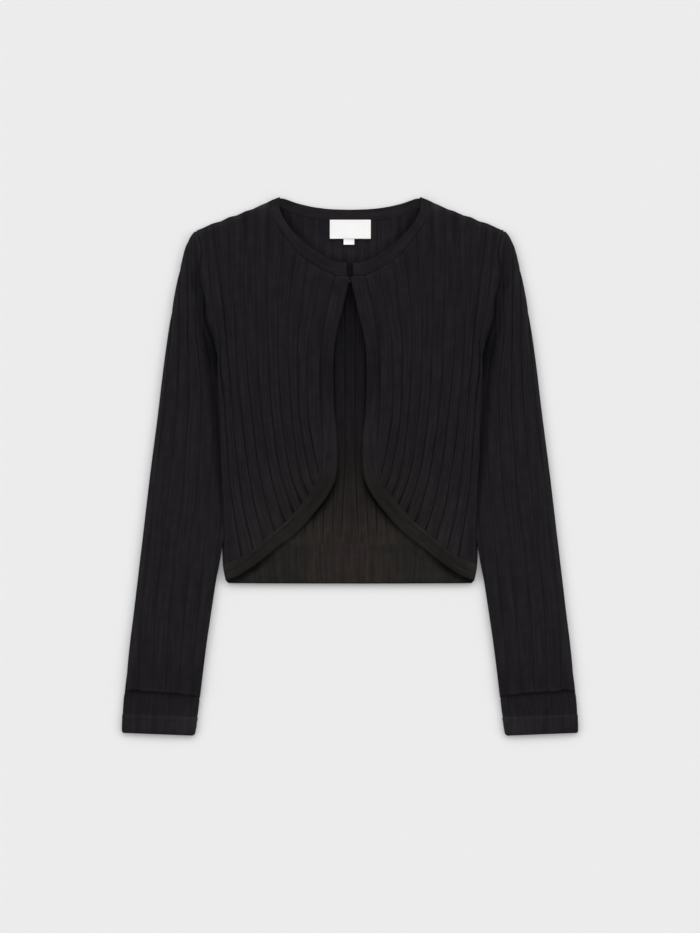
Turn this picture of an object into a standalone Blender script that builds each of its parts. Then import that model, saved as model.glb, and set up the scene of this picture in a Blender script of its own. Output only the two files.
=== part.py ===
"""A knitted shrug: a cropped, open-fronted cardigan in fine wide rib, lying flat on its back.

It is made of a back, two fronts, two sleeves, a fine-rib hem band and cuffs, a smooth double band round
each front edge, one neckband, a woven label with a size tab, and a hook and eye at the throat. Each is an
object of its own, and the cloth ones are walls of knit. Left and right are the wearer's, so the right side
is at -X. +Y runs up to the neck and +Z off the surface. The origin is on that surface, under the middle.

Outlines are measured on the flat garment in millimetres. "Out" is the distance from the centre line
towards a sleeve, "down" the distance below the neck points, which are the highest place, and "height" the
distance above the surface.
"""

import math

import bmesh
import bpy
import numpy as np

MM = 0.001

# Thicknesses and clearances
WALL = 1.3  # the rib knit in a gutter between two ribs
RIB = 0.7  # how far a wide rib stands above its gutters
FINE_RIB = 0.25  # how far a fine rib of the hem band or a cuff stands up
GAP = 0.3  # between any two pieces
BAND_WALL = 2.6  # the double knit of the front bands
NECKBAND_WALL = 2.0
HEM_WALL = 1.65
CUFF_WALL = 1.5
LABEL_WALL = 0.8
TAB_WALL = 0.6
UPPER = WALL + RIB + GAP  # height of the upper layer's underside, over the ribs of the lower one
LENGTH = 645.7  # from the neck points to the lowest corner of a cuff
SHOULDER_OF_RIB = 0.16  # the share of a rib's width in which it rises from its gutter to its full height

# down, out: the armhole seam, in straight runs from the shoulder tip to the underarm
ARMHOLE = (
    (39.5, 183.8),
    (54.7, 179.4),
    (68.0, 177.5),
    (86.0, 181.6),
    (104.0, 181.4),
    (121.0, 176.2),
    (142.0, 173.4),
    (162.0, 171.4),
    (181.0, 163.8),
    (197.5, 158.9),
)
# down, out: the side seam, from the underarm to the corner of the hem
SIDE = (
    (197.5, 158.9),
    (218.0, 159.6),
    (240.0, 159.4),
    (277.0, 157.7),
    (315.0, 156.5),
    (353.0, 154.7),
    (392.0, 153.4),
    (415.0, 152.9),
    (440.0, 152.6),
    (450.0, 151.4),
    (459.0, 149.2),
    (463.0, 146.4),
)
# out, down: the shoulder seam, from the neckband to the armhole
SHOULDER = (
    (97.0, 3.8),
    (139.0, 20.9),
    (183.8, 39.5),
)
# out of the seam, down of it, out of the free edge, down of it: a front band from the throat to the side
FRONT_BAND = (
    (17.8, 92.6, 1.8, 92.9),
    (19.0, 98.0, 0.6, 97.2),
    (20.3, 103.5, 1.3, 101.0),
    (24.7, 123.1, 5.6, 121.5),
    (28.9, 142.3, 10.0, 140.0),
    (32.4, 165.0, 15.0, 161.5),
    (34.8, 187.0, 18.6, 187.0),
    (35.3, 215.0, 20.2, 215.0),
    (34.6, 255.0, 18.1, 255.0),
    (32.2, 289.0, 15.0, 289.0),
    (31.5, 310.5, 14.4, 315.0),
    (34.7, 327.1, 16.4, 336.0),
    (41.3, 345.1, 25.0, 355.6),
    (50.9, 360.7, 37.0, 372.6),
    (71.3, 384.7, 61.0, 400.0),
    (94.1, 405.7, 86.5, 420.3),
    (122.3, 427.9, 116.5, 442.8),
    (138.5, 436.2, 133.8, 453.4),
    (152.2, 441.2, 148.8, 459.2),
)
# down, then how far out the gutters numbered 1, 2, 4, 6, 8 and 10 of a front lie: rib 0 is at the side
FRONT_GUTTERS = (1, 2, 4, 6, 8, 10)
FRONT_RIBS = (
    (20.0, 174.0, 163.5, 127.0, 97.2, 60.0, 23.0),
    (46.0, 172.0, 161.2, 125.5, 96.8, 61.7, 25.7),
    (104.0, 167.0, 153.8, 127.0, 99.2, 69.7, 37.7),
    (142.0, 162.0, 150.5, 125.1, 99.2, 72.3, 44.0),
    (181.0, 156.0, 147.3, 123.5, 97.9, 73.4, 49.9),
    (219.0, 153.8, 143.8, 121.5, 96.4, 72.3, 50.1),
    (257.0, 150.3, 140.7, 117.9, 93.3, 69.9, 50.0),
    (296.0, 147.9, 137.6, 113.1, 88.7, 65.5, 44.3),
    (334.0, 145.0, 132.9, 107.2, 81.5, 58.6, 35.3),
    (373.0, 139.5, 126.7, 98.8, 69.3, 41.0, 14.0),
    (411.0, 133.0, 118.3, 85.7, 52.0, 18.0, -12.0),
)
FRONT_RIB_COUNT = 11
FRONT_CORNER = 318.0  # down, where a front's inner edge turns out along the hem curve
NECK_STEPS = (6.24, 6.32, 6.42, 6.6, 7.5)  # more places across, to follow the neckband's curved seam
LEVEL_RIBS = 3  # the rib from the side up to which the rows of a front lie level, as the back's do
CORNER_SPREAD = 0.6  # how fast the ribs beyond a front's corner spread towards the middle
UNDERARM = 190.0  # down, where the seamed edge of a body panel starts to become an open side
UNDERARM_BLEND = 20.0
# down, how far out the back's first gutter lies, and the pitch of its ribs
BACK_RIBS = (
    (0.0, 8.8, 12.5),
    (181.0, 5.5, 12.5),
    (315.0, 5.5, 12.5),
    (416.0, 10.2, 11.0),
)
BACK_RIB_COUNT = 10
BACK_END = 415.4  # down, the seam of the hem band
HEM_END = 463.3
HEM_RIBS = 98

# down, out: a sleeve's outer fold, from the shoulder tip to the cuff's end
SLEEVE_OUTER = (
    (39.5, 184.6),
    (42.0, 187.6),
    (46.0, 190.6),
    (52.0, 194.0),
    (60.0, 197.5),
    (75.0, 201.5),
    (94.0, 206.0),
    (128.0, 212.6),
    (195.0, 222.7),
    (262.0, 230.8),
    (330.0, 239.6),
    (397.0, 247.5),
    (483.0, 257.7),
    (579.0, 269.0),
    (636.0, 273.5),
)
# down, out: its inner fold, which runs under the body's side below the underarm and comes out by the hem
SLEEVE_INNER = (
    (197.5, 159.3),
    (218.0, 159.9),
    (240.0, 159.8),
    (277.0, 149.2),
    (315.0, 148.0),
    (353.0, 155.1),
    (392.0, 153.9),
    (430.0, 153.6),
    (440.0, 155.9),
    (459.0, 160.4),
    (483.0, 164.3),
    (531.0, 171.4),
    (579.0, 177.3),
    (603.0, 180.3),
    (636.0, 184.7),
)
# down, how far out a sleeve's outermost whole gutter lies, and the pitch of its ribs
SLEEVE_RIBS = (
    (40.0, 205.2, 10.4),
    (160.0, 204.5, 10.0),
    (200.0, 206.0, 12.7),
    (243.0, 207.5, 14.4),
    (291.0, 211.9, 15.8),
    (363.0, 218.5, 16.8),
    (430.0, 225.1, 16.6),
    (483.0, 232.0, 17.0),
    (531.0, 235.1, 16.6),
    (591.0, 236.5, 15.8),
)
SLEEVE_GUTTERS = (-1, 0, 1, 2, 3, 4)  # from the outer fold inwards, counted from that gutter
SLEEVE_ROWS = (240.0, 277.0, 315.0, 353.0, 392.0, 415.0, 440.0, 470.0, 500.0, 530.0, 560.0, 584.0)
HOLLOW = UPPER - WALL  # between its two walls
TILT = 0.04  # the fall of a cuff's seams from its outer side to its inner side
TILT_FROM = 400.0
TILT_BY = 560.0
CUFF_SEAM = 594.7  # down, at the outer fold
CUFF_RIDGE = 620.3
CUFF_END = 642.0
CUFF_RIBS = 30
CUFF_CORNER = 1.6  # how far each corner of its end is rounded in
PUFF_FROM = 560.0  # down, where a sleeve starts to puff out over its cuff's seam
PUFF_BY = 585.0
PUFF = 0.7  # how much higher its ribs stand there
FLAT_FROM = 0.78  # the share of a sleeve's width beyond which it is flat, where the body lies over it
FLAT_BY = 0.86

# The body rises over the tucked edge of each sleeve
LIFT = 2 * WALL + HOLLOW + GAP
LIFT_REACH = 10.0  # how far in from the side seam it is fully lifted
LIFT_SLOPE = 18.0
LIFT_ROWS = ((197.5, 0.0), (240.0, 1.0), (353.0, 1.0), (415.0, 0.0))  # down, share of the lift

# mm in from a folded edge, how much of the corner is rounded off the outer face and off the inner face
FOLD = (
    (0.0, 0.9, 0.35),
    (0.8, 0.3, 0.1),
    (2.2, 0.0, 0.0),
)
# mm from a sewn edge, and how far the face dips towards the seam there
SEAM = (
    (0.0, 0.45),
    (1.5, 0.0),
)
ARM_ROOM = 0.36  # between the body and a sleeve, measured level
SEAM_ROOM = 0.6  # between a front and the band or neckband sewn round its curved edges
NECK_POINT = 95.8  # how far out the shoulder seam ends at the neckband

# out and down of the neckband's free edge, out and down of its seam: from the throat to the shoulder
NECK_FRONT = (
    (3.2, 78.6, 3.2, 92.2),
    (10.0, 78.6, 10.2, 91.9),
    (17.8, 77.0, 17.6, 90.9),
    (34.4, 69.1, 41.2, 80.2),
    (48.1, 59.5, 55.5, 71.3),
    (61.9, 47.2, 70.0, 57.2),
    (72.9, 34.7, 79.5, 44.3),
    (81.2, 20.9, 87.9, 32.3),
    (83.6, 13.5, 92.6, 22.8),
    (84.9, 6.5, 94.3, 12.5),
)
NECK_FOLD = (85.2, 0.0, 95.2, 3.4)  # the same places where it folds over the shoulder
# and from the shoulder to the middle of the back
NECK_BACK = (
    (80.5, 1.2, 91.3, 6.9),
    (76.5, 2.2, 85.8, 11.6),
    (66.5, 5.8, 75.0, 17.1),
    (57.0, 8.6, 61.0, 21.9),
    (40.0, 12.1, 41.0, 25.9),
    (20.0, 14.2, 20.0, 27.9),
    (0.0, 14.8, 0.0, 28.6),
)

LABEL_WIDTH = 49.6
LABEL_HEIGHT = 23.0
LABEL_TOP = 26.4
TAB_WIDTH = 12.8
TAB_HEIGHT = 8.2

# The hook and eye, under the front bands at the throat
HOOK_DOWN = 100.0
HOOK_RISE = 1.3  # how far they lift the upper layer
HOOK_NEAR = 10.0  # within this distance it is fully lifted
HOOK_FAR = 28.0
HOOK_WIRE = 0.3  # radii of their wires
EYE_WIRE = 0.25
WIRE_HEIGHT = WALL + RIB + GAP + HOOK_WIRE + 0.05
HOOK_BEND = HOOK_WIRE + EYE_WIRE + GAP + 0.05  # radius of the bend that holds the eye
HOOK_PLACE = -0.3  # the middle of that bend, out from the centre line
SEWING_RING = 1.3
SEWING_PLACE = 6.6
EYE_HALF_WIDTH = 1.3

KNIT = ("black_rib_knit", (0.0137, 0.0122, 0.0144), 0.9, 0.0)
BAND = ("black_band_knit", (0.0140, 0.0125, 0.0144), 0.9, 0.0)
TAPE = ("white_woven_tape", (0.86, 0.86, 0.85), 0.7, 0.0)
METAL = ("dark_metal", (0.12, 0.12, 0.12), 0.35, 1.0)


def eased(table, at, given, wanted):
    """One column of a table read at values of another, on a smooth curve through its rows."""
    rows = np.array(table, float)
    x = rows[:, given]
    y = rows[:, wanted]
    step = np.diff(x)
    slope = np.diff(y) / step
    before, after = slope[:-1], slope[1:]
    turning = before * after <= 0
    total = np.where(turning, 1.0, before + after)
    between = np.where(turning, 0.0, 2 * before * after / total)
    tangent = np.concatenate((slope[:1], between, slope[-1:]))
    at = np.asarray(at, float)
    held = np.clip(at, x[0], x[-1])
    i = np.clip(np.searchsorted(x, held) - 1, 0, len(step) - 1)
    t = (held - x[i]) / step[i]
    start = (1 + 2 * t) * (1 - t) ** 2 * y[i] + t * (1 - t) ** 2 * step[i] * tangent[i]
    end = t * t * (3 - 2 * t) * y[i + 1] - t * t * (1 - t) * step[i] * tangent[i + 1]
    return start + end + (at - held) * np.where(at > held, slope[-1], slope[0])


def straight(table, at, wanted=1):
    """A column of a table read at values of its first one, in straight runs between the rows."""
    rows = np.array(table, float)
    return np.interp(at, rows[:, 0], rows[:, wanted])


def soft_step(x):
    """0 below 0, 1 above 1 and an S-curve between."""
    x = np.clip(x, 0.0, 1.0)
    return x * x * (3 - 2 * x)


def crossing(difference, low, high):
    """Where a rising function of one number passes 0."""
    for _ in range(40):
        middle = 0.5 * (low + high)
        if difference(middle) < 0:
            low = middle
        else:
            high = middle
    return 0.5 * (low + high)


def side_out(down):
    """How far out the body's edge lies: its armhole seam, then its side seam."""
    return straight(ARMHOLE + SIDE[1:], down)


def lift(out, down):
    """How far the body is raised by the sleeve's edge under it."""
    inwards = side_out(down) - out
    across = 1 - soft_step((inwards - LIFT_REACH) / LIFT_SLOPE)
    return LIFT * across * straight(LIFT_ROWS, down)


def throat_rise(out, down):
    """How far the hook and eye raise the upper layer round the throat."""
    distance = np.hypot(out, down - HOOK_DOWN)
    return HOOK_RISE * (1 - soft_step((distance - HOOK_NEAR) / (HOOK_FAR - HOOK_NEAR)))


def rib_profile(place):
    """The height of a wide rib, from 0 in a gutter, at whole numbers, to 1 on its top."""
    return soft_step(np.abs(place - np.round(place)) / SHOULDER_OF_RIB)


def placed(side, out, down, height):
    """Points from their measures on one half of the garment, as X across, down and height."""
    return np.stack(np.broadcast_arrays(side * out, down, height), axis=-1).astype(float)


def to_world(point):
    return (point[0] * MM, (LENGTH / 2 - point[1]) * MM, point[2] * MM)


def add_object(name, mesh, finish):
    """A finished bmesh as an object in the garment's collection, with its own material."""
    bmesh.ops.recalc_face_normals(mesh, faces=mesh.faces)
    data = bpy.data.meshes.new(name)
    mesh.to_mesh(data)
    mesh.free()
    data.shade_smooth()
    data.materials.append(material(name, finish))
    garment.objects.link(bpy.data.objects.new(name, data))


def material(name, finish):
    """A Principled material for one piece."""
    kind, colour, roughness, metallic = finish
    made = bpy.data.materials.new(f"{name}_{kind}")
    made.use_nodes = True
    shader = made.node_tree.nodes["Principled BSDF"]
    shader.inputs["Base Color"].default_value = (*colour, 1.0)
    shader.inputs["Roughness"].default_value = roughness
    shader.inputs["Metallic"].default_value = metallic
    return made


def wall(name, outer, inner, finish, ring=False):
    """A wall between two grids of points, a row for each section. A ring's rows close on themselves.

    A section that lacks a point of the grid has NaN there, and the wall has an edge round that place.
    """
    mesh = bmesh.new()
    twin = {}
    rows, columns = outer.shape[:2]
    grids = [[[None] * columns for _ in range(rows)] for _ in range(2)]
    for r in range(rows):
        for c in range(columns):
            if np.isnan(outer[r, c]).any():
                continue
            corner = mesh.verts.new(to_world(outer[r, c]))
            twin[corner] = mesh.verts.new(to_world(inner[r, c]))
            grids[0][r][c] = corner
            grids[1][r][c] = twin[corner]
    for grid in grids:
        for r in range(rows - 1):
            for c in range(columns if ring else columns - 1):
                following = (c + 1) % columns
                corners = (grid[r][c], grid[r][following], grid[r + 1][following], grid[r + 1][c])
                if None not in corners:
                    mesh.faces.new(corners)
    edges = [e for e in mesh.edges if len(e.link_faces) == 1 and e.verts[0] in twin]
    for edge in edges:
        first, second = edge.verts
        mesh.faces.new((first, second, twin[second], twin[first]))
    add_object(name, mesh, finish)


def bar(name, sections, finish):
    """A solid through closed sections, with its two ends filled."""
    mesh = bmesh.new()
    rings = [[mesh.verts.new(to_world(point)) for point in section] for section in sections]
    for ring, following in zip(rings, rings[1:]):
        for i in range(len(ring)):
            j = (i + 1) % len(ring)
            mesh.faces.new((ring[i], ring[j], following[j], following[i]))
    mesh.faces.new(rings[0])
    mesh.faces.new(reversed(rings[-1]))
    add_object(name, mesh, finish)


def stations(table, spacing):
    """A table of paired places, read at even steps of about the given length along it."""
    rows = np.array(table, float)
    places = rows.reshape(len(rows), -1, 2)
    steps = np.linalg.norm(np.diff(places, axis=0), axis=2).mean(axis=1)
    along = np.concatenate(([0.0], np.cumsum(steps)))
    at = np.linspace(0.0, along[-1], round(along[-1] / spacing) + 1)
    keyed = np.column_stack((along, rows))
    return np.stack([eased(keyed, at, 0, column) for column in range(1, keyed.shape[1])], axis=1)


def top_edge(neck, out):
    """How far down a panel's top edge lies: along the neckband's seam, then the shoulder's."""
    seam = stations(neck, 3.0)[:, 2:]
    edge = np.concatenate((seam[np.argsort(seam[:, 0])], SHOULDER))
    return np.interp(out, edge[:, 0], edge[:, 1])


def front_gutter(place, down):
    """How far out a front's rib place lies at a level: 0 on the side edge, 11 on the band's seam."""
    band_out = eased(FRONT_BAND, np.minimum(down, FRONT_CORNER), 1, 0)
    beyond = np.maximum(down - FRONT_CORNER, 0.0) * CORNER_SPREAD
    places = [eased(FRONT_RIBS, down, 0, i + 1) for i in range(len(FRONT_GUTTERS))]
    row = [float(side_out(down)), *map(float, places), float(band_out - beyond)]
    across = list(zip((0, *FRONT_GUTTERS, FRONT_RIB_COUNT), row))
    return float(eased(across, place, 0, 1))


def front_levels(place):
    """The levels of a front's rows at one rib place, from its top edge to the seam of its band."""
    top = crossing(lambda y: y - top_edge(NECK_FRONT, front_gutter(place, y)), 0.0, 95.0)
    seam = stations(FRONT_BAND, 3.0)
    bottom = crossing(lambda y: np.interp(y, seam[:, 1], seam[:, 0]) - front_gutter(place, y), 311.0, 441.0)
    if place == FRONT_RIB_COUNT:
        bottom = FRONT_CORNER
    fixed = [row[0] for row in ARMHOLE[1:]] + [row[0] for row in SIDE[1:7]]
    fixed.append((fixed[-1] + bottom) / 2)
    if place <= LEVEL_RIBS:
        return np.array([top, top + FOLD[1][0], top + FOLD[2][0], *fixed, bottom - SEAM[1][0], bottom])
    pattern = front_levels(LEVEL_RIBS)
    share = (pattern - pattern[0]) / (pattern[-1] - pattern[0])
    levels = top + (bottom - top) * share
    levels[1:3] = top + FOLD[1][0], top + FOLD[2][0]
    levels[-2] = bottom - SEAM[1][0]
    return levels


def inwards_from(edge, neighbour):
    """How an edge's points move to leave room at a seam: across the edge, towards the row inside it."""
    along = np.gradient(edge, axis=0)
    across = np.stack((-along[:, 1], along[:, 0]), axis=1)
    across /= np.linalg.norm(across, axis=1, keepdims=True)
    towards = np.sign(np.sum((neighbour - edge) * across, axis=1, keepdims=True))
    return across * towards * SEAM_ROOM


def front(side, name):
    """A front: ribs down its length, cut by the shoulder, the neckband's seam and the band's seam."""
    parts = (0.0, SHOULDER_OF_RIB, 1 - SHOULDER_OF_RIB)
    steps = [0.0, 0.1, 0.28, parts[-1]]
    steps += [rib + part for rib in range(1, FRONT_RIB_COUNT) for part in parts]
    steps = sorted([*steps, *NECK_STEPS, float(FRONT_RIB_COUNT)])
    levels = np.stack([front_levels(place) for place in steps], axis=1)
    outs = np.array([[front_gutter(p, y) for p, y in zip(steps, row)] for row in levels])
    flat = np.stack((outs, levels), axis=-1)
    below_arm = soft_step((levels - UNDERARM) / UNDERARM_BLEND)

    # Parted from the pieces it is sewn to.
    neck = flat[0, :, 0] < NECK_POINT
    flat[:3, neck] += inwards_from(flat[0], flat[2])[neck]
    flat[-2:] += inwards_from(flat[-1], flat[-3])
    flat[:-2, -1] += inwards_from(flat[:, -1], flat[:, -3])[:-2]
    flat[:, 0, 0] -= ARM_ROOM / 2 * (1 - below_arm[:, 0])

    out, down = flat[..., 0], flat[..., 1]
    place = np.array(steps)[None, :] + 0 * out
    from_side = side_out(down) - out
    from_top = np.where(neck[None, :], FOLD[-1][0], down - down[:1])
    from_seam = np.minimum(down[-1:] - down, np.where(neck[None, :], down - down[:1], SEAM[1][0]))
    from_seam[:, -1] = 0.0
    first_gutter = 1 - soft_step((down - UNDERARM) / UNDERARM_BLEND)
    ribs = rib_profile(place)
    ribs = np.where(place < 1.5, np.maximum(ribs, first_gutter), ribs)
    ribs = ribs * (1 - 0.75 * straight(FOLD, from_top) / FOLD[0][1])
    ribs = ribs * (1 - 0.8 * straight(SEAM, from_seam) / SEAM[0][1])
    rounding = np.maximum(straight(FOLD, from_side) * below_arm, straight(FOLD, from_top))
    under = np.maximum(straight(FOLD, from_side, 2) * below_arm, straight(FOLD, from_top, 2))
    dip = np.maximum(straight(SEAM, from_side) * (1 - below_arm), straight(SEAM, from_seam))

    base = UPPER + lift(out, down) + throat_rise(out, down)
    outer = placed(side, out, down, base + WALL + RIB * ribs * (rounding < 0.5) - rounding - dip)
    inner = placed(side, out, down, base - under)
    wall(name, outer, inner, KNIT)


def back_levels(out_at_top, bottom):
    """The levels of the back's rows down one of its lines."""
    top = float(top_edge(NECK_BACK, out_at_top))
    fixed = [row[0] for row in ARMHOLE[1:]] + [row[0] for row in SIDE[1:7]]
    return np.array([top, top + FOLD[1][0], top + FOLD[2][0], *fixed, bottom - SEAM[1][0], bottom])


def back():
    """The back: its outer face on the surface, and the ribs of its inner face up."""
    inwards = (0.0, FOLD[1][0], FOLD[2][0], 7.0, 12.0, 18.0, 25.0)
    places = [float(BACK_RIB_COUNT)]
    for rib in reversed(range(BACK_RIB_COUNT)):
        places += [rib + 1 - SHOULDER_OF_RIB, rib + SHOULDER_OF_RIB, float(rib)]
    places.append(-SHOULDER_OF_RIB)

    half = []
    for distance in inwards:
        top = crossing(lambda y: y - top_edge(NECK_BACK, side_out(y) - distance), 0.0, 60.0)
        down = back_levels(side_out(top) - distance, BACK_END)
        half.append((side_out(down) - distance, down, 0 * down))
    for place in places:
        first, pitch = BACK_RIBS[0][1:]
        down = back_levels(first + place * pitch, BACK_END)
        out = straight(BACK_RIBS, down) + place * straight(BACK_RIBS, down, 2)
        down[0] = float(top_edge(NECK_BACK, out[0]))
        half.append((out, down, rib_profile(place) + 0 * down))
    down = back_levels(0.0, BACK_END)
    half.append((0 * down, down, 1 + 0 * down))

    out, down, ribs = (np.stack(part, axis=1) for part in zip(*half))
    neck = out[0] < NECK_POINT
    from_side = side_out(down) - out
    below_arm = soft_step((down - UNDERARM) / UNDERARM_BLEND)
    from_top = np.where(neck[None, :], FOLD[-1][0], down - down[:1])
    from_seam = np.minimum(down[-1:] - down, np.where(neck[None, :], down - down[:1], SEAM[1][0]))
    ribs = ribs * (1 - straight(SEAM, from_seam) / SEAM[0][1])
    ribs = ribs * (1 - straight(FOLD, from_top) / FOLD[0][1])
    rounding = np.maximum(straight(FOLD, from_side) * below_arm, straight(FOLD, from_top))
    under = np.maximum(straight(FOLD, from_side, 2) * below_arm, straight(FOLD, from_top, 2))
    flat = np.stack((out, down), axis=-1)
    flat[:3, neck] += inwards_from(flat[0], flat[2])[neck]
    flat[-1, :, 1] -= GAP / 2
    flat[:, 0, 0] -= ARM_ROOM / 2 * (1 - below_arm[:, 0])
    out, down = flat[..., 0], flat[..., 1]
    base = lift(out, down)
    top = placed(-1, out, down, base + WALL + RIB * ribs + under)
    bottom = placed(-1, out, down, base + rounding)
    mirror = np.array((-1.0, 1.0, 1.0))
    both = [np.concatenate((face, face[:, -2::-1] * mirror), axis=1) for face in (top, bottom)]
    wall("back", both[0], both[1], KNIT)


def tube(levels, tilts, top_shares, thickness, raised, corner):
    """Outer and inner points of a flattened tube, a section for each level, from its inner fold over the top.

    top_shares tells where the points of the upper face lie from the outer fold, 0, to the inner one, 1, and
    raised how far they stand above the bare wall. corner is how far in each end is drawn at both folds.
    Sections above the underarm are open at the armhole, so they have no inner fold.
    """
    turn = np.radians((60.0, 0.0, -60.0))
    hollow = UPPER - thickness
    radius = UPPER / 2 + thickness / 2
    under = np.array((0.0, 0.5, 1.0))
    outers, inners = [], []
    for level, tilt, shares, rises, drawn in zip(levels, tilts, top_shares, raised, corner):
        outer_fold = float(eased(SLEEVE_OUTER, level, 0, 1))
        outside = outer_fold - drawn - radius
        inside = float(eased(SLEEVE_INNER, level, 0, 1)) + drawn + radius
        open_side = level < ARMHOLE[-1][0]
        if open_side:
            inside = float(side_out(level)) + ARM_ROOM / 2
        across = outside + (inside - outside) * shares[::-1]
        below = outside + (inside - outside) * under
        for face, reach, top, bottom, found in (
            (outers, radius, UPPER + thickness + rises[::-1], 0.0, under * 0),
            (inners, hollow / 2, UPPER + 0 * rises, thickness, under * 0 + thickness),
        ):
            far = outside + reach * np.cos(turn)
            near = inside - reach * np.cos(turn) * (math.nan if open_side else 1.0)
            out = np.concatenate((across, far, below, near))
            round_far, round_near = radius + reach * np.sin(turn), radius - reach * np.sin(turn)
            height = np.concatenate((top, round_far, found, round_near))
            face.append(placed(1, out, level + tilt * (outer_fold - out), height))
    return np.array(outers), np.array(inners)


def rib_shares(level, outside, inside):
    """Where a sleeve's rib columns lie across its upper face, as shares from the outer fold."""
    first = float(eased(SLEEVE_RIBS, level, 0, 1))
    pitch = float(eased(SLEEVE_RIBS, level, 0, 2))
    gutters = [(outside - first + k * pitch) / (outside - inside) for k in SLEEVE_GUTTERS]
    least = 0.05
    count = len(gutters)
    held = [min(max(g, least * (i + 1)), 1 - least * (count - i)) for i, g in enumerate(gutters)]
    bounds = [0.0, *held, 1.0]
    shares = []
    for start, end in zip(bounds, bounds[1:]):
        width = end - start
        shares += [start, start + SHOULDER_OF_RIB * width, end - SHOULDER_OF_RIB * width]
    return np.array(shares + [1.0])


def sleeve(side, name):
    """A sleeve: a flattened tube, open along the armhole seam and at the cuff, ribbed down its length."""
    seam = CUFF_SEAM - GAP / 2
    levels = [42.0, 47.0] + [row[0] for row in ARMHOLE[1:]] + [218.0, *SLEEVE_ROWS]
    levels += [seam - 4.6, seam - SEAM[1][0], seam]
    levels = np.array(levels)
    tilts = TILT * soft_step((levels - TILT_FROM) / (TILT_BY - TILT_FROM))
    shares, raised = [], []
    for level in levels:
        outside = float(eased(SLEEVE_OUTER, level, 0, 1)) - (UPPER + WALL) / 2
        open_side = level < ARMHOLE[-1][0]
        inside = float(side_out(level)) if open_side else float(eased(SLEEVE_INNER, level, 0, 1))
        share = rib_shares(level, outside, inside)
        place = np.arange(len(share)) % 3
        ribs = np.where(place == 0, 0.0, 1.0)
        puffed = 1 + PUFF * soft_step((level - PUFF_FROM) / (PUFF_BY - PUFF_FROM))
        seam_dip = float(straight(SEAM, seam - level))
        height = RIB * ribs * puffed * (1 - 1.6 * seam_dip) - seam_dip
        if open_side:
            height[-1] = -SEAM[0][1]
            height[0] = 0.0
        else:
            covered = soft_step((share - FLAT_FROM) / (FLAT_BY - FLAT_FROM))
            height = height * (1 - covered * float(straight(LIFT_ROWS, level)))
        shares.append(share)
        raised.append(height)
    outer, inner = tube(levels, tilts, shares, WALL, raised, 0 * levels)
    for face in (outer, inner):
        face[..., 0] *= side
    wall(name, outer, inner, KNIT, ring=True)


def cuff(side, name):
    """A cuff: fine rib from the sleeve's seam to a ridge, then a smooth turned welt."""
    start = CUFF_SEAM + GAP / 2
    # level, height of the fine ribs there, height of the ground, how far the corners are drawn in
    rows = (
        (start, 0.0, -0.3, 0.0),
        (start + 1.5, 1.0, 0.0, 0.0),
        (CUFF_RIDGE - 1.4, 1.0, 0.0, 0.0),
        (CUFF_RIDGE - 1.0, 0.0, 0.1, 0.0),
        (CUFF_RIDGE, 0.0, 0.55, 0.0),
        (CUFF_RIDGE + 1.0, 0.0, 0.15, 0.0),
        (CUFF_END - 2.4, 0.0, 0.15, 0.1 * CUFF_CORNER),
        (CUFF_END - 0.7, 0.0, -0.05, 0.5 * CUFF_CORNER),
        (CUFF_END, 0.0, -0.5, CUFF_CORNER),
    )
    levels, ribs, ground, corner = (np.array(column) for column in zip(*rows))
    share = np.linspace(0.0, 1.0, 2 * CUFF_RIBS + 1)
    wave = np.where(np.arange(len(share)) % 2 == 0, 0.0, 1.0)
    raised = [FINE_RIB * wave * r + g for r, g in zip(ribs, ground)]
    outer, inner = tube(levels, 0 * levels + TILT, [share] * len(levels), CUFF_WALL, raised, corner)
    for face in (outer, inner):
        face[..., 0] *= side
    wall(name, outer, inner, KNIT, ring=True)


def hem_band():
    """The fine-rib band along the back's lower edge."""
    start = BACK_END + GAP / 2
    # level, height of the fine ribs there, how far the lower edge is rounded
    rows = (
        (start, 0.0, 0.3, 0.0),
        (start + 1.5, 1.0, 0.0, 0.0),
        (450.0, 1.0, 0.0, 0.0),
        (HEM_END - 1.2, 1.0, 0.1, 0.0),
        (HEM_END, 0.0, 0.6, 0.5),
    )
    share = np.linspace(0.0, 1.0, 2 * HEM_RIBS + 1)[1:-1]
    wave = np.where(np.arange(len(share)) % 2 == 0, 1.0, 0.0)
    fold = np.array((0.0, 0.8, 2.2))
    outer, inner = [], []
    for level, ribs, worn, curled in rows:
        # The outer corners of the hem lie a little higher than its middle.
        half = float(straight(SIDE, min(level, SIDE[-1][0]))) - GAP / 3
        across = half - fold
        out = np.concatenate((-across, (2 * share - 1) * (half - fold[-1]), across[::-1]))
        sides = np.array((0.9, 0.3, 0.0))
        rounding = np.concatenate((sides, 0 * share, sides[::-1]))
        rounding = np.maximum(rounding, curled)
        height = HEM_WALL + np.concatenate((0 * fold, FINE_RIB * wave * ribs, 0 * fold)) - worn
        rise = 0.5 * (out / half) ** 2 * (level - start) / (HEM_END - start)
        outer.append(placed(1, out, level - rise, np.maximum(height, rounding + 0.5)))
        inner.append(placed(1, out, level - rise, rounding))
    wall("back_hem_band", np.array(outer), np.array(inner), KNIT)


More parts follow.
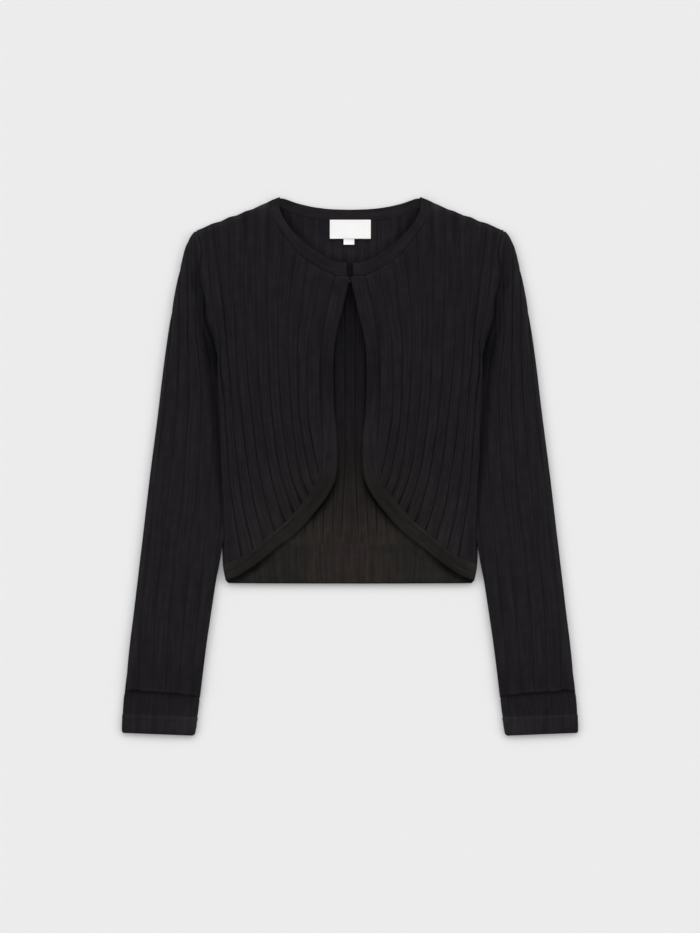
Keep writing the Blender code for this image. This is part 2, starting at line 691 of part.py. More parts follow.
def front_band(side, name):
    """The smooth double band round a front's free edge, from the throat to the side of the hem."""
    # mm in from the seam or, where marked, from the free edge, and the height above the underside
    profile = (
        ("seam", 0.0, 1.9),
        ("seam", 0.9, 2.45),
        ("seam", 5.0, BAND_WALL),
        ("edge", 1.8, 2.5),
        ("edge", 0.5, 1.95),
        ("edge", 0.0, 1.2),
        ("edge", 0.4, 0.35),
        ("edge", 1.4, 0.0),
        ("seam", 0.0, 0.0),
    )
    sections = []
    for seam_out, seam_down, edge_out, edge_down in stations(FRONT_BAND, 10.0):
        seam = np.array((seam_out, seam_down))
        edge = np.array((edge_out, edge_down))
        across = (edge - seam) / np.linalg.norm(edge - seam)
        section = []
        for side_of, distance, height in profile:
            at = seam + across * distance if side_of == "seam" else edge - across * distance
            base = UPPER + float(throat_rise(at[0], at[1]))
            section.append((side * at[0], at[1], base + height))
        sections.append(section)
    bar(name, sections, BAND)


def neckband():
    """The neckband: one strip round the neck, folded over at both shoulders."""
    high = UPPER + NECKBAND_WALL / 2
    low = NECKBAND_WALL / 2
    turn_radius = (high - low) / 2
    places = []  # free edge, seam edge, height of the middle of the wall, and its outer face's turn
    for row in stations(NECK_FRONT, 9.0):
        places.append((row[:2], row[2:], high, 0.0))
    free, seam = np.array(NECK_FOLD[:2]), np.array(NECK_FOLD[2:])
    upwards = np.array((0.35, -1.0)) / math.hypot(0.35, 1.0)
    for turn in np.radians((35.0, 90.0, 145.0)):
        moved = upwards * (turn_radius * math.sin(turn) - turn_radius - NECKBAND_WALL / 2)
        height = (high + low) / 2 + turn_radius * math.cos(turn)
        places.append((free + moved, seam + moved, height, turn))
    for row in stations(NECK_BACK, 9.0):
        places.append((row[:2], row[2:], low, math.pi))
    half = NECKBAND_WALL / 2
    sections = []
    for free, seam, height, turn in places:
        width = np.linalg.norm(seam - free)
        across = (seam - free) / width
        profile = ((0.0, 0.45), (0.8, 1.0), (width - 0.7, 1.0), (width, 0.5))
        profile += tuple((at, -face) for at, face in reversed(profile))
        section = []
        for at, face in profile:
            flat = free + across * at + upwards * math.sin(turn) * face * half
            rise = float(throat_rise(flat[0], flat[1])) if turn == 0.0 else 0.0
            section.append((-flat[0], flat[1], height + rise + math.cos(turn) * face * half))
        sections.append(np.array(section))
    mirror = np.array((-1.0, 1.0, 1.0))
    bar("neckband", sections + [section * mirror for section in sections[-2::-1]], BAND)


def tape(name, width, top, length, thickness, bow):
    """A flat piece of woven tape on the back's inner face, its lower edge standing up a little."""
    out = np.linspace(-width / 2, width / 2, 7)
    down = np.linspace(top, top + length, 4)
    across, along = np.meshgrid(out, down)
    under = UPPER + bow * ((along - top) / length) ** 2
    outer = placed(1, across, along, under + thickness)
    inner = placed(1, across, along, under)
    wall(name, outer, inner, TAPE)


def wire(name, points, radius):
    """A bent wire along its points."""
    data = bpy.data.curves.new(name, "CURVE")
    data.dimensions = "3D"
    data.bevel_depth = radius * MM
    data.bevel_resolution = 2
    data.use_fill_caps = True
    spline = data.splines.new("POLY")
    spline.points.add(len(points) - 1)
    for target, point in zip(spline.points, points):
        target.co = (*to_world(point), 1.0)
    data.materials.append(material(name, METAL))
    garment.objects.link(bpy.data.objects.new(name, data))


def arc(centre, radius, start, end, steps):
    """Points round a circle, from one angle to another, in degrees."""
    angles = np.radians(np.linspace(start, end, steps))
    return [(centre[0] + radius * math.cos(a), centre[1] + radius * math.sin(a)) for a in angles]


def hook():
    """The hook, sewn under the right band: a ring, a shank, and a bend up round the eye's wire."""
    ring = arc((-SEWING_PLACE, HOOK_DOWN), SEWING_RING, 60.0, 330.0, 7)
    points = [(x, y, WIRE_HEIGHT) for x, y in ring]
    points.append((-SEWING_PLACE + 2.2, HOOK_DOWN, WIRE_HEIGHT))
    bend = arc((HOOK_PLACE, WIRE_HEIGHT + HOOK_BEND), HOOK_BEND, -90.0, 90.0, 6)
    points += [(x, HOOK_DOWN, height) for x, height in bend]
    points.append((HOOK_PLACE - 0.35, HOOK_DOWN, WIRE_HEIGHT + 2 * HOOK_BEND - 0.05))
    wire("hook", points, HOOK_WIRE)


def eye():
    """The eye, sewn under the left band: a loop of wire that reaches into the hook."""
    high = WIRE_HEIGHT + HOOK_BEND
    start = arc((SEWING_PLACE, HOOK_DOWN - 2.4), SEWING_RING, 0.0, -200.0, 6)
    loop = [(x, y, WIRE_HEIGHT) for x, y in start]
    loop.append((SEWING_PLACE - 2.2, HOOK_DOWN - EYE_HALF_WIDTH, WIRE_HEIGHT))
    loop.append((1.4, HOOK_DOWN - EYE_HALF_WIDTH, WIRE_HEIGHT))
    loop.append((HOOK_PLACE + 0.5, HOOK_DOWN - EYE_HALF_WIDTH, high - 0.2))
    loop.append((HOOK_PLACE, HOOK_DOWN - EYE_HALF_WIDTH + 0.5, high))
    mirrored = [(x, 2 * HOOK_DOWN - y, height) for x, y, height in reversed(loop)]
    wire("eye", loop + mirrored, EYE_WIRE)


for old in list(bpy.data.objects):
    bpy.data.objects.remove(old)
garment = bpy.data.collections.new("knitted_shrug")
bpy.context.scene.collection.children.link(garment)

back()
hem_band()
for facing, hand in ((-1, "right"), (1, "left")):
    front(facing, f"front_{hand}")
    front_band(facing, f"front_band_{hand}")
    sleeve(facing, f"sleeve_{hand}")
    cuff(facing, f"cuff_{hand}")
neckband()
tape("label", LABEL_WIDTH, LABEL_TOP, LABEL_HEIGHT, LABEL_WALL, 0.4)
tape("size_tab", TAB_WIDTH, LABEL_TOP + LABEL_HEIGHT + GAP, TAB_HEIGHT, TAB_WALL, 0.3)
hook()
eye()
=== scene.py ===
# %% [markdown]
# # A knitted shrug lying flat
#
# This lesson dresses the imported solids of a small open-fronted knit in real cloth. The solids already
# say how large every piece is and where it lies, so nothing here is placed by eye: each sheet of knit is
# laid over the solid that it stands for, a little finer and softer. The garment's back rests on the
# floor, and the two fronts, the bands and the sleeves lie over it.
#
# Measures are those a knitter takes with a tape on the flat garment, in millimetres. "Out" runs from
# the centre line to a sleeve, "down" runs from the neck points to the cuffs, and "height" is the distance
# above the floor. Left and right are the wearer's.

# %% Load the solids
import math

import bmesh
import bpy
import numpy as np
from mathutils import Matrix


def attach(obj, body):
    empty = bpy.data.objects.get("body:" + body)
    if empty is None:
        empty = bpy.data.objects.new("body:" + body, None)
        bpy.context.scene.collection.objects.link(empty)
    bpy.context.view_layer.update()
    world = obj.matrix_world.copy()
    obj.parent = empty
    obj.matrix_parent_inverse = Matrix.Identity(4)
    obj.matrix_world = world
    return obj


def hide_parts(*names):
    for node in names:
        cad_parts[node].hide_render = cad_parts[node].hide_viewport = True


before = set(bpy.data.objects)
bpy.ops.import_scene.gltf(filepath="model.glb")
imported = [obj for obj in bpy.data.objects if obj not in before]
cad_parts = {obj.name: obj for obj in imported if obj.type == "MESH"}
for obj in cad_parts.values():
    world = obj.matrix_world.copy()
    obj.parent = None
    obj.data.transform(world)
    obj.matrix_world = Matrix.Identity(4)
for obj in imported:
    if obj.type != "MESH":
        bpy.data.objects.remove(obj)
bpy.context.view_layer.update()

print("solids to dress:", ", ".join(sorted(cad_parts)))

# %% [markdown]
# ## The camera
#
# The garment is looked at from straight above, with its neck towards the top of the picture. A long lens
# keeps the view almost free of perspective, as for a pattern sheet. An orthographic camera would do too,
# but a real lens shows the sides of the cloth's folds as they are seen in life.

# %% Camera
MM = 0.001
CAMERA_PLACE = (0.0, -0.00007, 2.6444)  # metres, over the middle of the garment
lens = bpy.data.cameras.new("camera")
lens.lens = 85.0
lens.sensor_width = 36.0
camera = bpy.data.objects.new("camera", lens)
camera.location = CAMERA_PLACE
bpy.context.scene.collection.objects.link(camera)
bpy.context.scene.camera = camera
print("camera", round(camera.location.z, 3), "m above the floor")

# %% [markdown]
# ## Floor and light
#
# The floor is a plain pale sheet. The light comes from a large soft surrounding, brightest low down like
# a ring of soft boxes, and a little stronger from behind the neck. Low light is what draws ribs: it
# leaves the gutters between them in shade and makes a narrow soft shadow all round the garment. Separate
# area lamps could do the same, but their edges would show as several shadows. The standard view transform
# keeps a black yarn black instead of greying it.

# %% Helpers for node trees
def add_node(tree, kind, **settings):
    """A node of a kind, with some of its properties set."""
    node = tree.nodes.new(kind)
    for name, value in settings.items():
        setattr(node, name, value)
    return node


def feed(tree, socket, value):
    """Give a socket a number, or link it to another node's output."""
    if isinstance(value, bpy.types.NodeSocket):
        tree.links.new(value, socket)
    else:
        socket.default_value = value


def calc(tree, operation, *values):
    """A Math node's result."""
    node = add_node(tree, "ShaderNodeMath", operation=operation)
    for socket, value in zip(node.inputs, values):
        feed(tree, socket, value)
    return node.outputs[0]


def ranged(tree, value, low, high, to_low=0.0, to_high=1.0):
    """A value carried smoothly from one range to another."""
    node = add_node(tree, "ShaderNodeMapRange", interpolation_type="SMOOTHSTEP")
    for socket, given in zip(node.inputs, (value, low, high, to_low, to_high)):
        feed(tree, socket, given)
    return node.outputs[0]


def separated(tree, kind, whole):
    """The outputs of a node that separates a vector or a colour."""
    node = add_node(tree, kind)
    tree.links.new(whole, node.inputs[0])
    return node.outputs


def noise(tree, vector, scale, detail, **settings):
    """The value of a noise pattern at a vector."""
    node = add_node(tree, "ShaderNodeTexNoise", **settings)
    tree.links.new(vector, node.inputs["Vector"])
    node.inputs["Scale"].default_value = scale
    node.inputs["Detail"].default_value = detail
    return node.outputs[0]


def mixed(tree, factor, first, second, blend="MIX"):
    """Two colours mixed."""
    node = add_node(tree, "ShaderNodeMix", data_type="RGBA", blend_type=blend)
    for socket, given in zip((node.inputs[0], node.inputs[6], node.inputs[7]), (factor, first, second)):
        feed(tree, socket, given)
    return node.outputs[2]


# %% Surrounding light
LIGHT = 0.719  # brightness of the surroundings overhead
RING = 5.0  # how much brighter the low ring is
RING_BOTTOM = (0.16, 0.30)  # the heights between which it brightens, from 0 level to 1 overhead
RING_TOP = (0.44, 0.60)  # and those between which it fades again
FROM_BEHIND = 0.8  # how much of the light comes from behind the neck
BACKGROUND = (0.84, 0.84, 0.84, 1.0)

world = bpy.data.worlds.new("studio")
bpy.context.scene.world = world
world.use_nodes = True
tree = world.node_tree
tree.nodes.clear()
towards = separated(tree, "ShaderNodeSeparateXYZ", add_node(tree, "ShaderNodeTexCoord").outputs["Generated"])
ring_bottom = ranged(tree, towards["Z"], *RING_BOTTOM)
ring_top = ranged(tree, towards["Z"], *RING_TOP, 1.0, 0.0)
ring = calc(tree, "MULTIPLY", calc(tree, "MULTIPLY", ring_bottom, ring_top), RING)
lean = calc(tree, "MULTIPLY_ADD", towards["Y"], FROM_BEHIND, 1.0)
strength = calc(tree, "MULTIPLY", calc(tree, "MULTIPLY", calc(tree, "ADD", ring, 1.0), lean), LIGHT)
soft_boxes = add_node(tree, "ShaderNodeBackground")
tree.links.new(strength, soft_boxes.inputs["Strength"])
plain = add_node(tree, "ShaderNodeBackground")
plain.inputs["Color"].default_value = BACKGROUND
seen = add_node(tree, "ShaderNodeMixShader")
tree.links.new(add_node(tree, "ShaderNodeLightPath").outputs["Is Camera Ray"], seen.inputs[0])
tree.links.new(soft_boxes.outputs[0], seen.inputs[1])
tree.links.new(plain.outputs[0], seen.inputs[2])
tree.links.new(seen.outputs[0], add_node(tree, "ShaderNodeOutputWorld").inputs["Surface"])
bpy.context.scene.view_settings.view_transform = "Standard"
print("surroundings", LIGHT, "overhead and", LIGHT * (1 + RING), "in the ring")

# %% Floor
FLOOR = (0.70, 0.70, 0.70)
FLOOR_SIZE = 4.0
FLOOR_GAP = 0.0003  # below the cloth


def plain_material(name, colour, roughness, specular=0.5, metallic=0.0):
    """A new material and its main shader."""
    made = bpy.data.materials.new(name)
    made.use_nodes = True
    shader = made.node_tree.nodes["Principled BSDF"]
    shader.inputs["Base Color"].default_value = (*colour, 1.0)
    shader.inputs["Roughness"].default_value = roughness
    shader.inputs["Specular IOR Level"].default_value = specular
    shader.inputs["Metallic"].default_value = metallic
    return made, shader


floor_mesh = bmesh.new()
bmesh.ops.create_grid(floor_mesh, x_segments=1, y_segments=1, size=FLOOR_SIZE)
bmesh.ops.translate(floor_mesh, verts=floor_mesh.verts, vec=(0.0, 0.0, -FLOOR_GAP))
floor_data = bpy.data.meshes.new("floor")
floor_mesh.to_mesh(floor_data)
floor_mesh.free()
floor_data.materials.append(plain_material("floor_paper", FLOOR, 1.0, 0.0)[0])
floor = bpy.data.objects.new("floor", floor_data)
bpy.context.scene.collection.objects.link(floor)
print("floor ready")

# %% [markdown]
# ## The knitter's measures
#
# These short tables repeat the measures that the solids were cut from: thicknesses, then the lines of the
# seams and edges. A table is read either in straight runs between its rows or along a smooth curve
# through them, so a few rows are enough for a long curved edge. Tracing a dense outline would give the
# same shape but nothing that a maker could read or change. Soft knit spreads a little when it is smoothed
# flat, so the cloth of each half is laid a hair further out than its solid.

# %% Thicknesses
LENGTH = 645.7  # from the neck points to the lowest corner of a cuff
WALL = 1.3  # the rib knit, in a gutter between two ribs
RIB = 0.7  # how far a wide rib stands above its gutters
UPPER = 2.3  # height of the upper layer's underside, over the ribs of the lower one
CLOTH = 1.2  # thickness given to each sheet
LIFT = 3.9  # how far the body rises over the tucked edge of a sleeve
RIB_WALES = 10  # columns of stitches in a wide rib
COURSE = 0.95  # the height of one row of stitches
SPREAD = 0.66  # how much further out than its solid the cloth of each half lies
SPREAD_FROM = 8  # out, where it is spread in full
print("cloth", CLOTH, "mm thick, with ribs", RIB, "mm high")

# %% Seams of the body
ARMHOLE_AND_SIDE = (  # down, out
    (39.5, 183.8), (54.7, 179.4), (68, 177.5), (86, 181.6), (104, 181.4), (121, 176.2), (142, 173.4),
    (162, 171.4), (181, 163.8), (197.5, 158.9), (218, 159.6), (240, 159.4), (277, 157.7), (315, 156.5),
    (353, 154.7), (392, 153.4), (415, 152.9), (440, 152.1), (450, 150.7), (459, 148.5), (463, 145.6),
)
SHOULDER = (  # out, down: each wide rib stands out a little at the fold
    (95.4, 4.3), (99.5, 6.7), (106, 9.2), (116.5, 14.4), (124, 16.5), (133.5, 21.6), (141.5, 23.6),
    (151, 28.6), (161.5, 31.6), (171.5, 36.3), (183.8, 41.3),
)
FRONT_BAND = (  # out of the seam, down of it, out of the free edge, down of it
    (17.6, 95, 2, 95.4), (18.6, 98.6, 0.6, 98.2), (20.3, 103.5, 1.3, 101.4), (24.7, 123.1, 5.6, 121.5),
    (28.9, 142.3, 10, 140), (32.4, 165, 15, 161.5), (34.8, 187, 18.6, 187), (35.3, 215, 20.2, 215),
    (34.6, 255, 18.1, 255), (32.2, 289, 15, 289), (31.5, 310.5, 14.4, 315), (34.7, 327.1, 16.4, 336),
    (41.3, 345.1, 25, 355.6), (50.9, 360.7, 37, 372.6), (71.3, 384.7, 61, 400),
    (94.1, 405.7, 86.8, 420.8), (122.3, 427.9, 116.9, 443.9), (138.5, 436.2, 134.1, 454.6),
    (151.5, 441.2, 148.2, 459.9),
)
NECK_FRONT = (  # out and down of the neckband's free edge, out and down of its seam, from the throat
    (3.7, 78.8, 3.5, 95.8), (10, 78.8, 10.2, 95.6), (17.8, 77.2, 17.9, 93.6), (34.4, 69.1, 41.7, 81.4),
    (48.1, 59.5, 55.9, 71.9), (61.9, 47.2, 70, 57.2), (72.9, 34.7, 79.5, 44.3), (81.2, 20.9, 87.9, 32.3),
    (83.6, 13.5, 92.6, 22.8), (84.2, 6.5, 94.3, 12.5),
)
NECK_FOLD = (83.5, -0.5, 95.2, 3.9)  # the same four where the neckband turns over
NECK_BACK = (  # the same from the shoulder to the middle of the back
    (80.5, 1.2, 91.3, 6.9), (76.5, 2.2, 85.8, 11.6), (66.5, 5.8, 75, 17.1), (57, 8.6, 61, 21.9),
    (40, 12.1, 41, 25.9), (20, 14.2, 20, 27.9), (0, 14.8, 0, 28.6),
)
NECK_POINT = 95.8  # how far out the shoulder seam ends at the neckband
BACK_END = 415.4  # down, the seam of the hem band
HEM_END = 463.3
print("body", HEM_END, "mm long, its back", BACK_END)

# %% Lines of the ribs
FRONT_GUTTERS = (1, 2, 4, 6, 8, 10)
FRONT_RIBS = (  # down, then how far out those gutters of a front lie, counted from the side
    (20, 174, 163.5, 127, 97.2, 60, 23), (46, 172, 161.2, 125.5, 96.8, 61.7, 25.7),
    (104, 167, 153.8, 127, 99.2, 69.7, 37.7), (142, 162, 150.5, 125.1, 99.2, 72.3, 44),
    (181, 156, 147.3, 123.5, 97.9, 73.4, 49.9), (219, 153.8, 143.8, 121.5, 96.4, 72.3, 50.1),
    (257, 150.3, 140.7, 117.9, 93.3, 69.9, 50), (296, 147.9, 137.6, 113.1, 88.7, 65.5, 44.3),
    (334, 145, 132.9, 107.2, 81.5, 58.6, 35.3), (373, 139.5, 126.7, 98.8, 69.3, 41, 14),
    (411, 133, 118.3, 85.7, 52, 18, -12),
)
FRONT_RIB_COUNT = 11
FRONT_CORNER = 318  # down, where a front's inner edge turns out along the hem curve
BACK_RIBS = (  # down, how far out the back's first gutter lies, and the pitch of its ribs
    (0, 8.8, 12.5), (181, 5.5, 12.5), (315, 5.5, 12.5), (416, 10.2, 11),
)
SLEEVE_OUTER = (  # down, out of a sleeve's outer fold
    (39.5, 184.6), (42, 187.6), (46, 190.6), (52, 194), (60, 197.5), (75, 201.5), (94, 206),
    (128, 212.6), (195, 222.7), (262, 230.8), (330, 239.6), (397, 247.5), (483, 257.7), (579, 269),
    (612, 271.5), (636, 272.9),
)
SLEEVE_INNER = (  # down, out of its inner fold
    (197.5, 159.3), (218, 159.9), (240, 159.8), (277, 149.2), (315, 148), (353, 155.1), (392, 153.9),
    (422, 153.2), (429, 154.2), (440, 156.1), (459, 160), (483, 163.7), (531, 171.1), (579, 177.3),
    (603, 180.3), (636, 184.7),
)
SLEEVE_RIBS = (  # down, how far out its outermost whole gutter lies, and the pitch of its ribs
    (40, 205.2, 10.4), (160, 204.5, 10), (200, 206, 12.7), (243, 207.5, 14.4), (291, 211.9, 15.8),
    (363, 218.5, 16.8), (430, 225.1, 16.6), (483, 232, 17), (531, 235.1, 16.6), (591, 236.5, 15.8),
)
UNDERARM = 197.5  # down, where a sleeve's seam meets the side seam
CUFF_SEAM = 594.7
CUFF_RIDGE = 621.3  # where the cuff's fine rib turns to its smooth welt
CUFF_END = 642
TILT = 0.04  # the fall of a cuff's seams from its outer side to its inner side
print("cuffs from", CUFF_SEAM, "mm down to", CUFF_END)


# %% Reading the tables
def eased(table, at, given, wanted):
    """One column of a table read at values of another, on a smooth curve through its rows."""
    rows = np.array(table, float)
    x, y = rows[:, given], rows[:, wanted]
    step = np.diff(x)
    slope = np.diff(y) / step
    before, after = slope[:-1], slope[1:]
    turning = before * after <= 0
    total = np.where(turning, 1.0, before + after)
    between = np.where(turning, 0.0, 2 * before * after / total)
    tangent = np.concatenate((slope[:1], between, slope[-1:]))
    at = np.asarray(at, float)
    held = np.clip(at, x[0], x[-1])
    i = np.clip(np.searchsorted(x, held) - 1, 0, len(step) - 1)
    t = (held - x[i]) / step[i]
    start = (1 + 2 * t) * (1 - t) ** 2 * y[i] + t * (1 - t) ** 2 * step[i] * tangent[i]
    end = t * t * (3 - 2 * t) * y[i + 1] - t * t * (1 - t) * step[i] * tangent[i + 1]
    return start + end + (at - held) * np.where(at > held, slope[-1], slope[0])


def straight(table, at, wanted=1):
    """A column of a table read at values of its first one, in straight runs between the rows."""
    rows = np.array(table, float)
    return np.interp(at, rows[:, 0], rows[:, wanted])


def rising(x, start, end):
    """0 up to a start, 1 from an end on, and an S-curve between."""
    x = np.clip((x - start) / (end - start), 0, 1)
    return x * x * (3 - 2 * x)


def falling(x, start, end):
    """The same from 1 down to 0."""
    return 1 - rising(x, start, end)


def stations(table, spacing):
    """A table of paired places, read at even steps of about the given length along it."""
    rows = np.array(table, float)
    places = rows.reshape(len(rows), -1, 2)
    steps = np.linalg.norm(np.diff(places, axis=0), axis=2).mean(axis=1)
    along = np.concatenate(([0.0], np.cumsum(steps)))
    at = np.linspace(0.0, along[-1], round(along[-1] / spacing) + 1)
    keyed = np.column_stack((along, rows))
    return np.stack([eased(keyed, at, 0, column) for column in range(1, keyed.shape[1])], axis=1)


def shaded(out, down, line, near, far):
    """How much light a soft shadow leaves beside a line of places, each with a strength."""
    nearest = np.full(np.broadcast(out, down).shape, np.inf)
    strength = np.zeros(nearest.shape)
    for at_out, at_down, dark in line:
        away = np.hypot(out - at_out, down - at_down)
        strength = np.where(away < nearest, dark, strength)
        nearest = np.minimum(nearest, away)
    return 1 - strength * falling(nearest, near, far)


def side_out(down):
    """How far out the body's edge lies: its armhole seam, then its side seam."""
    return eased(ARMHOLE_AND_SIDE, down, 0, 1)


def top_edge(neck, out):
    """How far down a panel's top edge lies: along the neckband's seam, then the shoulder's."""
    seam = stations(neck, 3)[:, 2:]
    edge = np.concatenate((seam[np.argsort(seam[:, 0])], SHOULDER))
    return np.interp(out, edge[:, 0], edge[:, 1])


print("the side seam at the waist is", round(float(side_out(300)), 1), "mm from the centre line")

# %% [markdown]
# ## How the cloth lies
#
# Real knit never lies as flat as its pattern. The body humps over the tucked edge of each sleeve, the
# hook lifts the throat, and the neckline stands a little off the back. Here each of those is a smooth
# function of place, added to a sheet's height. A cloth simulation would find such shapes too, but ones
# that nobody chose, while these can be set against the garment one by one.

# %% Humps and hollows of the body
LIFT_REACH = (10, 28)  # how far in from the side seam the body is lifted in full, and at all
BACK_LIFT = (  # down, share of the lift
    (190, 0), (222, 0.9), (240, 1), (353, 1), (415, 0),
)
FRONT_LIFT = (  # the same for the fronts
    (100, 0), (125, 0.3), (150, 0.75), (175, 1.15), (195, 1.15), (220, 1), (353, 1), (420, 0.15),
)
THROAT = 100  # down, where the hook lifts the fronts
HOOK_RISE = 1.3  # how far it lifts them
HOOK_REACH = (10, 28)  # how far from it they are lifted in full, and at all
OPENING_RISE = 2.3  # how far the edges of the opening bow up
OPENING_DOWN = 132
OPENING_HALF = (34, 42)  # half the width and half the height of that bow
NECK_RISE = 2.2  # how far the neckline stands off the back
NECK_REACH = 34  # how far from the neck seam that ends
NECK_START = (8, 34)  # down, where that begins, and from where it is full
NECK_SEAM = stations(NECK_FRONT, 6)[:, 2:]


def lift(out, down, rows):
    """How far the body is raised by the sleeve's edge under it."""
    inwards = side_out(down) - out
    return LIFT * falling(inwards, *LIFT_REACH) * straight(rows, down)


def bump(x, centre, half_width):
    """A smooth hump, 1 in its middle."""
    return np.exp(-(((x - centre) / half_width) ** 2))


def upper_rise(out, down):
    """How far the upper layer stands up round the throat and the neckline."""
    hooked = HOOK_RISE * falling(np.hypot(out, down - THROAT), *HOOK_REACH)
    opening = OPENING_RISE * bump(out, 0, OPENING_HALF[0]) * bump(down, OPENING_DOWN, OPENING_HALF[1])
    away = np.min([np.hypot(out - x, down - y) for x, y in NECK_SEAM], axis=0)
    neckline = NECK_RISE * falling(away, 0, NECK_REACH) * rising(down, *NECK_START)
    return hooked + opening + neckline


def creased(out, down, creases):
    """The sum of listed creases: soft ridges, or troughs where their height is negative."""
    total = 0
    for at_out, at_down, half_length, half_width, height, turn in creases:
        angle = math.radians(turn)
        along = (down - at_down) * math.cos(angle) + (out - at_out) * math.sin(angle)
        across = (out - at_out) * math.cos(angle) - (down - at_down) * math.sin(angle)
        total = total + height * np.exp(-((across / half_width) ** 2) - (along / half_length) ** 4)
    return total


print("the body rises", LIFT, "mm over each sleeve")

# %% [markdown]
# ## Laying a sheet
#
# Every panel starts as one flat grid made by Blender. Its points are then laid, one by one, where the
# cloth's outer face is, and a Solidify modifier gives it the knit's thickness. The grid's own squares
# become the stitch map: across it counts columns of stitches, down it counts rows, so the stitches follow
# the ribs wherever these bend. Cutting the panel out of a draped plane would lose that. Each point also
# carries painted light and shade: how much the yarn is darkened or lightened there, and how dark the
# painted shade in the gutters is.

# %% Helpers that lay a sheet
RIB_STEPS = 0.5 - 0.5 * np.cos(np.pi * np.arange(10) / 10)  # closer together near a gutter


def rib_places(first, last):
    """Places across whole ribs, counted so that gutters are whole numbers."""
    return np.concatenate([*(rib + RIB_STEPS for rib in range(first, last)), [float(last)]])


def relief(place, sharp=12):
    """The height of a wide rib, from 0 in its gutters to 1 on its gently rounded top."""
    x = np.abs(2 * (place - np.floor(place)) - 1)
    return 1 - 0.78 * x**sharp - 0.22 * x**2


def broad(place):
    """The same rib pulled nearly smooth."""
    return 0.5 - 0.5 * np.cos(2 * math.pi * place)


def placed(side, out, down, height, spread=SPREAD):
    """World places, in metres, of points measured on one half of the garment."""
    out = out + spread * np.sign(out) * rising(np.abs(out), 0, SPREAD_FROM)
    world = np.broadcast_arrays(side * out * MM, (LENGTH / 2 - down) * MM, height * MM)
    return np.stack(world, axis=-1)


def stitch_grid(stitches):
    """A flat grid with the given stitch counts, its layer of painted light and shade, and each point's row
    and column.
    """
    rows, columns = stitches.shape[:2]
    mesh = bmesh.new()
    bmesh.ops.create_grid(mesh, x_segments=columns - 1, y_segments=rows - 1, size=0.5)
    uv = mesh.loops.layers.uv.new("stitches")
    # The layer holds each point's painted light and shade.
    painted_light = mesh.verts.layers.float_color.new("painted_light")
    place = {
        v: (round((v.co.y + 0.5) * (rows - 1)), round((v.co.x + 0.5) * (columns - 1))) for v in mesh.verts
    }
    for face in mesh.faces:
        for loop in face.loops:
            loop[uv].uv = stitches[place[loop.vert]]
    return mesh, painted_light, place


def in_scene(name, data, finish):
    """An object that shows a mesh with a finish."""
    data.shade_smooth()
    data.materials.clear()
    data.materials.append(finish)
    piece = bpy.data.objects.new(name, data)
    bpy.context.scene.collection.objects.link(piece)
    print(name, len(data.polygons), "faces")
    return piece


def finished(name, mesh, finish):
    """An object from a bmesh."""
    data = bpy.data.meshes.new(name)
    mesh.to_mesh(data)
    mesh.free()
    return in_scene(name, data, finish)


def upward(mesh, middle):
    """How much of a mesh's area faces away from a middle height, less what faces it."""
    mesh.normal_update()
    return sum(f.normal.z * f.calc_area() * (f.calc_center_median().z - middle) for f in mesh.faces)


def laid(name, points, stitches, finish, tone=1, groove=1, thickness=CLOTH, ring=False, opened=None):
    """A grid whose points are laid on a cloth's outer face. A ring's last column meets its first.

    tone is the painted light and shade from place to place, and groove how dark the painted shade in the
    rib's gutters is there.
    opened tells which of a ring's squares are left out, from their first row and column.
    """
    mesh, painted_light, place = stitch_grid(stitches)
    tone, groove = (np.broadcast_to(np.asarray(x, float), points.shape[:2]) for x in (tone, groove))
    if opened:
        first = {f: [min(place[v][axis] for v in f.verts) for axis in (0, 1)] for f in mesh.faces}
        bmesh.ops.delete(mesh, geom=[f for f in mesh.faces if opened(*first[f])], context="FACES")
    for vert in mesh.verts:
        at = place[vert]
        vert.co = points[at]
        # Each point's painted light and shade, and how dark its painted gutter shade is.
        vert[painted_light] = (tone[at], groove[at], 0.0, 1.0)
    if ring:
        bmesh.ops.remove_doubles(mesh, verts=mesh.verts, dist=1e-6)
    for edge in mesh.edges:
        edge.smooth = not edge.is_boundary
    if upward(mesh, points[..., 2].mean() if ring else -1) < 0:
        bmesh.ops.reverse_faces(mesh, faces=mesh.faces)
    piece = finished(name, mesh, finish)
    cloth = piece.modifiers.new("cloth", "SOLIDIFY")
    cloth.thickness = thickness * MM
    cloth.offset = -1
    return piece


def lofted(name, sections, stitches, finish, tone):
    """A solid band through closed sections: a ring-shaped grid whose two ends are filled."""
    columns = sections.shape[1]
    mesh, painted_light, place = stitch_grid(stitches)
    for vert in mesh.verts:
        row, column = place[vert]
        vert.co = sections[row, column % columns]
        # Each point's painted light and shade.
        vert[painted_light] = (tone[row, column % columns], 0.0, 0.0, 1.0)
    bmesh.ops.remove_doubles(mesh, verts=mesh.verts, dist=1e-7)
    bmesh.ops.holes_fill(mesh, edges=mesh.edges, sides=0)
    bmesh.ops.recalc_face_normals(mesh, faces=mesh.faces)
    return finished(name, mesh, finish)


print("a rib is laid at", len(RIB_STEPS), "places across")

# %% [markdown]
# ## The yarn and its stitches
#
# Plain knit is rows of small V shapes: each stitch's two legs lean away from the middle of its column.
# The stitch map gives a column count and a row count at every point, and a few Math nodes turn their
# fractions into the V's height, which drives both a bump and the painted shade between the yarns. A
# picture of knit would repeat and blur, and stitches in real geometry would be millions of faces. A dull
# black wool has almost no gloss, only a faint sheen of loose fibres. A painted warm tint of reflected
# light turns its black towards brown at the lower middle.

# %% Knit material
FUZZ = 1400.0  # stray fibres to a metre
CLOUDS = 95.0  # lighter and darker patches to a metre


def stitch_counts(tree):
    """The stitch map's counts, of columns across the cloth and of rows down it."""
    map_node = add_node(tree, "ShaderNodeUVMap", uv_map="stitches")
    return separated(tree, "ShaderNodeSeparateXYZ", map_node.outputs[0])[:2]


